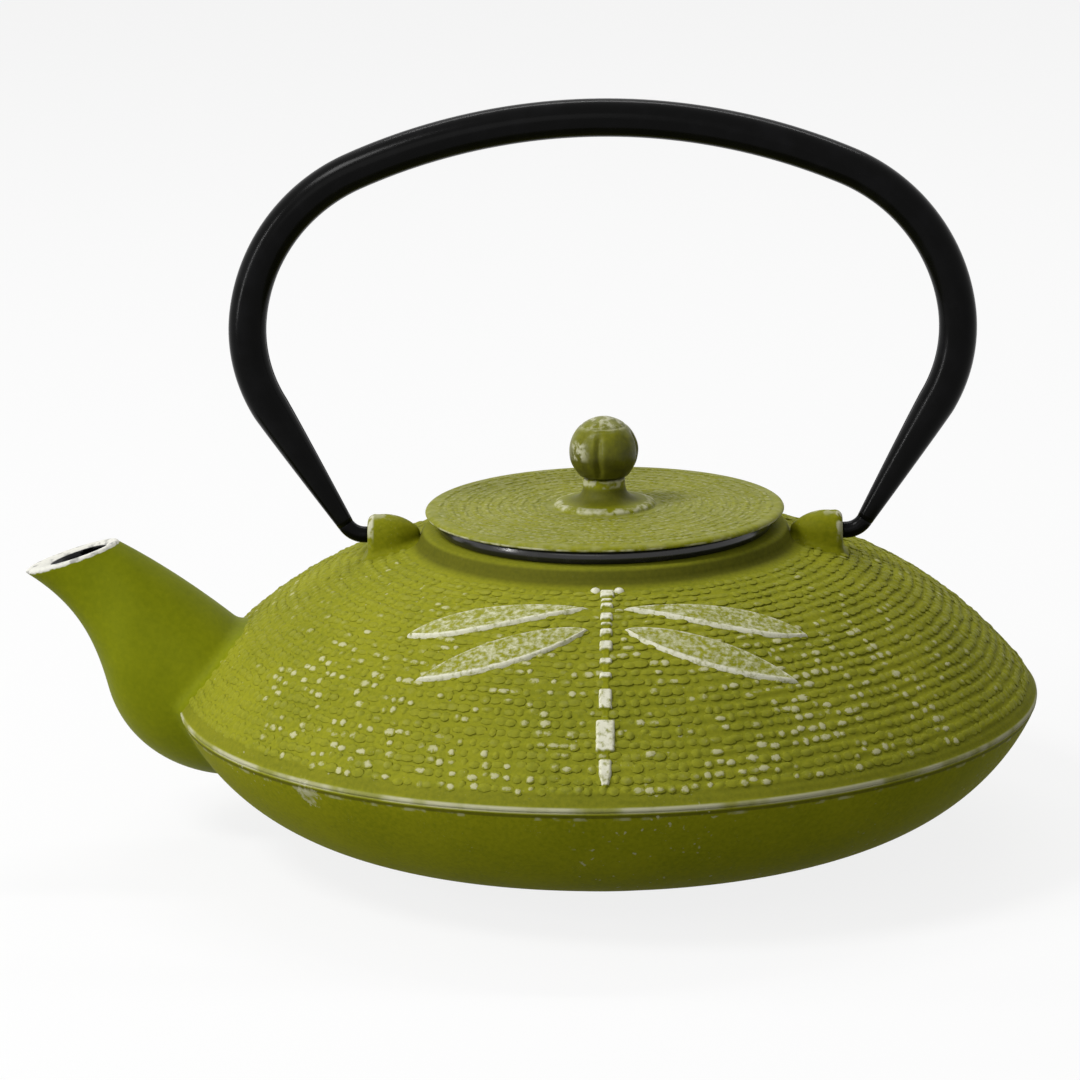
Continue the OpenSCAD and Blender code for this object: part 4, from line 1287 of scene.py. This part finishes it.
# %% [markdown]
# ## Bail
# The bail is a strip of sheet rolled into a tube. Its edges meet in a seam along the inside of the
# bow, and each arm is drawn down to take the rod of its hook. The path is a chain of arcs, and the
# tube is one ring repeated along it, with a notch in the ring for the seam.

# %% Bail path
TOP_Z, TUBE_R, ARM_END_R = 150.6, 3.9, 1.72
TOP_TURN, CORNER_R, CORNER_TURN, SIDE_R, SIDE_TURN = 23.5, 37.5, 58.5, 30.6, 39.0
HOOK_R, HOOK_X = 4.7, LUG_FACE + 0.6


def heading(degrees):
    return np.array([math.sin(math.radians(degrees)), math.cos(math.radians(degrees))])


def bail_path():
    """Points, headings and radii from the top of the bow to the end of one arm."""
    a, b = TOP_TURN + CORNER_TURN, TOP_TURN + CORNER_TURN + SIDE_TURN
    corner = CORNER_R * (heading(a) - heading(TOP_TURN))
    side = SIDE_R * (heading(b) - heading(a))
    end_z = PIVOT_Z + HOOK_R * (1 + heading(b)[1])
    slope = heading(b)[1] / heading(b)[0]
    across = HOOK_X + HOOK_R * heading(b)[0] - corner[0] - side[0]
    down = TOP_Z + corner[1] + side[1] - end_z
    top_r = (across - slope * down) / (heading(TOP_TURN)[0] - slope * (1 - heading(TOP_TURN)[1]))
    stations, place = [], np.array([0.0, TOP_Z])
    arcs = ((top_r, 0, TOP_TURN, 24), (CORNER_R, TOP_TURN, a, 40), (SIDE_R, a, b, 26))
    for radius, first, last, count in arcs:
        for turn in np.linspace(first, last, count, endpoint=False):
            stations.append((*(place + radius * (heading(turn) - heading(first))), turn, TUBE_R))
        place = place + radius * (heading(last) - heading(first))
    length = (place[1] - end_z) / heading(b)[0]
    way = np.array([heading(b)[1], -heading(b)[0]])
    for t in np.linspace(0, 1, 30):
        stations.append((*(place + way * length * t), b, TUBE_R + (ARM_END_R - TUBE_R) * t ** 1.1))
    return np.array(stations), b


half_bail, ARM_HEADING = bail_path()
print("arm ends at", half_bail[-1, :2].round(1), "heading", ARM_HEADING)

# %% [markdown]
# The rolled edges of the strip never close quite flush, so the ring has a shallow groove where they
# meet. It is carried along every station of the path, from the end of one arm to the other.

# %% Bail tube
def sweep(stations, outline):
    """Rings of (angle, radius share) along stations of x, z, heading and radius."""
    turn, share = outline
    rings = []
    for x, z, way, radius in stations:
        out = np.array([math.sin(math.radians(way)), 0, math.cos(math.radians(way))])
        ring = np.array([x, 0, z]) + (radius * share * np.cos(turn))[:, None] * out
        ring[:, 1] += radius * share * np.sin(turn)
        rings.append(ring)
    rings = np.array(rings)
    n, m = rings.shape[:2]
    caps = [np.arange(m)[None], ((n - 1) * m + np.arange(m))[None]]
    return rings.reshape(-1, 3), [grid(n, m)] + caps


def bail_finish():
    """Black stove enamel on rolled sheet."""
    finish = Finish("bail_black")
    peel, drag = finish.noise(1.8, 2.0), finish.noise(5.0, 3.0)
    colour = finish.mix((0.0025, 0.0025, 0.0025), (0.005, 0.005, 0.0055), drag.ramp(0.4, 0.8))
    return finish.set(Base_Color=colour, Roughness=drag * 0.08 + 0.17, Normal=finish.bump(peel, 0.02, 0.3),
                      Specular_IOR_Level=0.06)


handle_black = bail_finish()


def bail_tube():
    groove = (173.5, 175.5, 177.5, 180, 182.5, 184.5, 186.5)
    turn = np.radians(np.concatenate([np.linspace(-170, 170, 40), groove]))
    share = np.ones(len(turn))
    share[-len(groove):] = (0.985, 0.95, 0.86, 0.80, 0.86, 0.95, 0.985)
    other = half_bail[:0:-1] * (-1, 1, -1, 1)
    points, faces = sweep(np.concatenate([other, half_bail]), (turn, share))
    return piece("bail_tube", points, faces, handle_black, "handle", ["handle_tube"])


bail_tube()

# %% [markdown]
# Each hook is a forged rod: it leaves the drawn end of the arm, bends and runs into its lug. The
# bend is as thick as the drawn end, and the pin that turns in the lug's bore is a little thinner.

# %% Hooks
def hook(side):
    x, z = half_bail[-1, :2]
    way = ARM_HEADING
    back = np.array([heading(way)[1], -heading(way)[0]])
    stations = [(x - back[0] * 4, z - back[1] * 4, way, 1.45),
                (x - back[0] * 0.3, z - back[1] * 0.3, way, 1.5), (x, z, way, 1.69)]
    start = np.array([x, z])
    for turn in np.linspace(way + 4, 180, 16):
        stations.append((*(start + HOOK_R * (heading(turn) - heading(way))), turn, 1.7))
    level = ((HOOK_X - 0.5, 1.68), (HOOK_X - 0.9, 1.5), (HOOK_X - 5, 1.5), (LUG_FACE - 5.4, 1.5),
             (LUG_FACE - 5.58, 1.3))
    stations += [(at, PIVOT_Z, 180, radius) for at, radius in level]
    turn = np.arange(32) * 2 * math.pi / 32
    stations = np.array(stations)
    if side < 0:
        stations = stations * (-1, 1, -1, 1)
    points, faces = sweep(stations, (turn, np.ones(32)))
    name = "rear" if side > 0 else "front"
    return piece(f"hook_{name}", points, faces, handle_black, "handle", [f"handle_hook_{name}"])


for side in (-1, 1):
    hook(side)

# %% [markdown]
# ## Infuser
# Loose leaves sit in a basket of fine steel mesh that hangs by its rim in the neck. Mesh is wire
# repeated by a rule, so a second Geometry Nodes tree draws it: hoops stacked up the wall, uprights
# round it, and crossed wires cut to the circle of the floor.

# %% Mesh tree
def basket_tree():
    tree = Tree("basket", Radius=0.0284, Low=0.0225, High=0.0602, Hoops=30, Uprights=132, Floor_Wires=40,
                Wire=0.00016, Paint=bright_steel)
    rise = tree.math("SUBTRACT", tree.get("High"), tree.get("Low"))
    hoop = tree.node("GeometryNodeCurvePrimitiveCircle", Resolution=96, Radius=tree.get("Radius"))
    foot = tree.xyz(Z=tree.get("Low"))
    step = tree.xyz(Z=tree.math("DIVIDE", rise, tree.get("Hoops")))
    stack = tree.node("GeometryNodeMeshLine", Count=tree.get("Hoops"), Start_Location=foot, Offset=step)
    hoops = tree.node("GeometryNodeInstanceOnPoints", Points=stack.outputs[0], Instance=hoop.outputs[0])
    post = tree.node("GeometryNodeCurvePrimitiveLine", End=tree.xyz(Z=rise))
    ring = tree.node("GeometryNodeMeshCircle", Vertices=tree.get("Uprights"),
                     Radius=tree.math("ADD", tree.get("Radius"), tree.get("Wire")))
    lifted = tree.node("GeometryNodeTransform", Geometry=ring.outputs[0], Translation=foot)
    posts = tree.node("GeometryNodeInstanceOnPoints", Points=lifted.outputs[0], Instance=post.outputs[0])
    left = tree.math("MULTIPLY", tree.get("Radius"), -0.985)
    gap = tree.math("DIVIDE", tree.math("MULTIPLY", tree.get("Radius"), 1.97),
                    tree.math("SUBTRACT", tree.get("Floor Wires"), 1.0))
    row = tree.node("GeometryNodeMeshLine", Count=tree.get("Floor Wires"),
                    Start_Location=tree.xyz(X=left, Z=tree.get("Low")), Offset=tree.xyz(X=gap))
    x = tree.node("ShaderNodeSeparateXYZ", Vector=tree.place()).outputs[0]
    chord = tree.math("SQRT", tree.math("SUBTRACT", tree.math("POWER", tree.get("Radius"), 2.0),
                                        tree.math("POWER", x, 2.0)))
    unit = tree.node("GeometryNodeCurvePrimitiveLine", Start=(0.0, -1.0, 0.0), End=(0.0, 1.0, 0.0))
    wires = tree.node("GeometryNodeInstanceOnPoints", Points=row.outputs[0], Instance=unit.outputs[0],
                      Scale=tree.xyz(X=1.0, Y=chord, Z=1.0))
    real = tree.node("GeometryNodeRealizeInstances", Geometry=wires.outputs[0])
    crossed = tree.node("GeometryNodeTransform", Geometry=real.outputs[0], Rotation=(0.0, 0.0, math.pi / 2),
                        Translation=(0.0, 0.0, 0.00026))
    every = tree.join(hoops, posts, real, crossed)
    lines = tree.node("GeometryNodeRealizeInstances", Geometry=every.outputs[0])
    section = tree.node("GeometryNodeCurvePrimitiveCircle", Resolution=5, Radius=tree.get("Wire"))
    solid = tree.node("GeometryNodeCurveToMesh", Curve=lines.outputs[0],
                      Profile_Curve=section.outputs[0], Fill_Caps=True)
    tree.end(solid.outputs[0], tree.get("Paint"))
    return tree


basket = basket_tree()
seed_mesh = bpy.data.objects.new("seed", bpy.data.meshes.new("seed"))
bpy.context.scene.collection.objects.link(seed_mesh)
FLOOR_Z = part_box("infuser_floor")[0].z + 0.0003
mesh_basket = basket.run(seed_mesh, "infuser_mesh", Low=FLOOR_Z, High=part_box("infuser_rim")[0].z + 0.001)
settle(mesh_basket, "infuser", ["infuser_wall", "infuser_floor"])

# %% [markdown]
# The cut ends of the wires are held between folded sheet: a flanged rim above, which rests on the
# seat in the neck, and a band round the foot. Both are turned outlines, one sheet thick.

# %% Infuser rim and base band
MESH_SIDE, SHEET_SIDE = 28.62, 29.08


def infuser_sheet(name, node, outline):
    steps = 128
    faces = [np.concatenate([grid(len(outline), steps), seal(len(outline), steps)])]
    return piece(name, turned(outline, steps), faces, bright_steel, "infuser", [node])


low, high = (corner.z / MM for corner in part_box("infuser_rim"))
rim = [(MESH_SIDE, high - 0.05), (28.9, high), (31.5, high), (31.85, high - 0.12), (31.9, high - 0.35),
       (31.8, high - 0.55), (31.4, high - 0.6), (29.5, high - 0.6), (29.15, high - 0.75),
       (SHEET_SIDE, high - 1.1), (SHEET_SIDE, low + 0.3), (29.0, low + 0.02), (28.7, low + 0.02),
       (MESH_SIDE, low + 0.2)]
infuser_sheet("infuser_rim_sheet", "infuser_rim", rim)
low, high = (corner.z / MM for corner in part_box("infuser_base_band"))
band = [(MESH_SIDE, low + 0.1), (28.8, low), (29.0, low + 0.05), (SHEET_SIDE, low + 0.3),
        (SHEET_SIDE, high - 0.3), (29.0, high - 0.03), (28.7, high - 0.02), (MESH_SIDE, high - 0.2)]
infuser_sheet("infuser_band_sheet", "infuser_base_band", band)

# %% [markdown]
# ## Floor, world and lamps
# The pot stands on a white floor in plain, soft light. White comes from what the camera sees, not
# from strong lamps: rays from the camera meet a white floor and sky, while the light that falls on
# the pot from below stays low, so that the bowl keeps its shade. A little of the floor's own
# shading is left in, for the shadow.

# %% Floor
def seen_rays(tree):
    """1 for rays that the camera sees straight, mirrored or through something, and 0 for the rest."""
    rays = tree.nodes.new("ShaderNodeLightPath")
    seen = Value(tree, rays.outputs["Is Camera Ray"])
    for kind in ("Is Glossy Ray", "Is Transmission Ray"):
        seen = seen.math("MAXIMUM", seen, Value(tree, rays.outputs[kind]))
    return seen


def stage_white(name, shade_share, dark):
    """White to the camera and to reflections, and grey to the light that bounces off it."""
    finish = Finish(name)
    tree = finish.tree
    seen = seen_rays(tree)
    tree.nodes.remove(finish.shader)
    light = finish.node("ShaderNodeEmission", Color=(1, 1, 1, 1), Strength=1.0)
    white = finish.node("ShaderNodeBsdfDiffuse", Color=(0.9, 0.9, 0.9, 1))
    grey = finish.node("ShaderNodeBsdfDiffuse", Color=(dark, dark, dark, 1))

    def blend(share, first, second):
        made = tree.nodes.new("ShaderNodeMixShader")
        for slot, term in zip(made.inputs, (share, first, second)):
            plug(tree, slot, term)
        return Value(tree, made.outputs[0])

    shown = blend(shade_share, light, white)
    output = next(node for node in tree.nodes if node.type == "OUTPUT_MATERIAL")
    plug(tree, output.inputs["Surface"], blend(seen, grey, shown))
    return finish.material


def stage_floor():
    mesh = bpy.data.meshes.new("floor")
    mesh.from_pydata([(-4, -4, 0), (4, -4, 0), (4, 4, 0), (-4, 4, 0)], [], [(0, 1, 2, 3)])
    floor = bpy.data.objects.new("floor", mesh)
    mesh.materials.append(stage_white("floor_white", 0.16, 0.30))
    bpy.context.scene.collection.objects.link(floor)


stage_floor()
print("floor laid")

# %% [markdown]
# The sky is white to look at and lights the pot with about a quarter of that. Four lamps do the
# modelling: a key above the front left, a strip above and behind for the lid and the bail, a thin
# tall one at the left for the line of light down the arm, and a weak one in front for the shade.

# %% World and lamps
def world_light():
    world = bpy.data.worlds.new("studio")
    bpy.context.scene.world = world
    world.use_nodes = True
    tree = world.node_tree
    sky = tree.nodes["Background"]
    sky.inputs[0].default_value = (1, 1, 1, 1)
    plug(tree, sky.inputs[1], seen_rays(tree) * 0.73 + 0.27)


def lamp(name, place, target, size, watts):
    data = bpy.data.lights.new(name, "AREA")
    data.shape, data.energy = "RECTANGLE", watts
    data.size, data.size_y = size
    made = bpy.data.objects.new(name, data)
    made.location = place
    made.rotation_euler = (Vector(target) - Vector(place)).to_track_quat("-Z", "Y").to_euler()
    bpy.context.scene.collection.objects.link(made)


world_light()
lamp("key", (-0.66, -0.40, 1.00), (0, 0, 0.04), (0.36, 0.30), 7.2)
lamp("top", (0.05, 0.62, 1.05), (0, 0, 0.06), (1.1, 0.08), 4.6)
lamp("side", (-1.15, -0.50, 0.24), (0, 0, 0.08), (0.03, 0.9), 7.0)
lamp("front", (-0.35, -1.15, 0.60), (0, 0, 0.05), (0.8, 0.6), 1.7)
bpy.context.scene.view_settings.view_transform = "Standard"
print("lamps set")
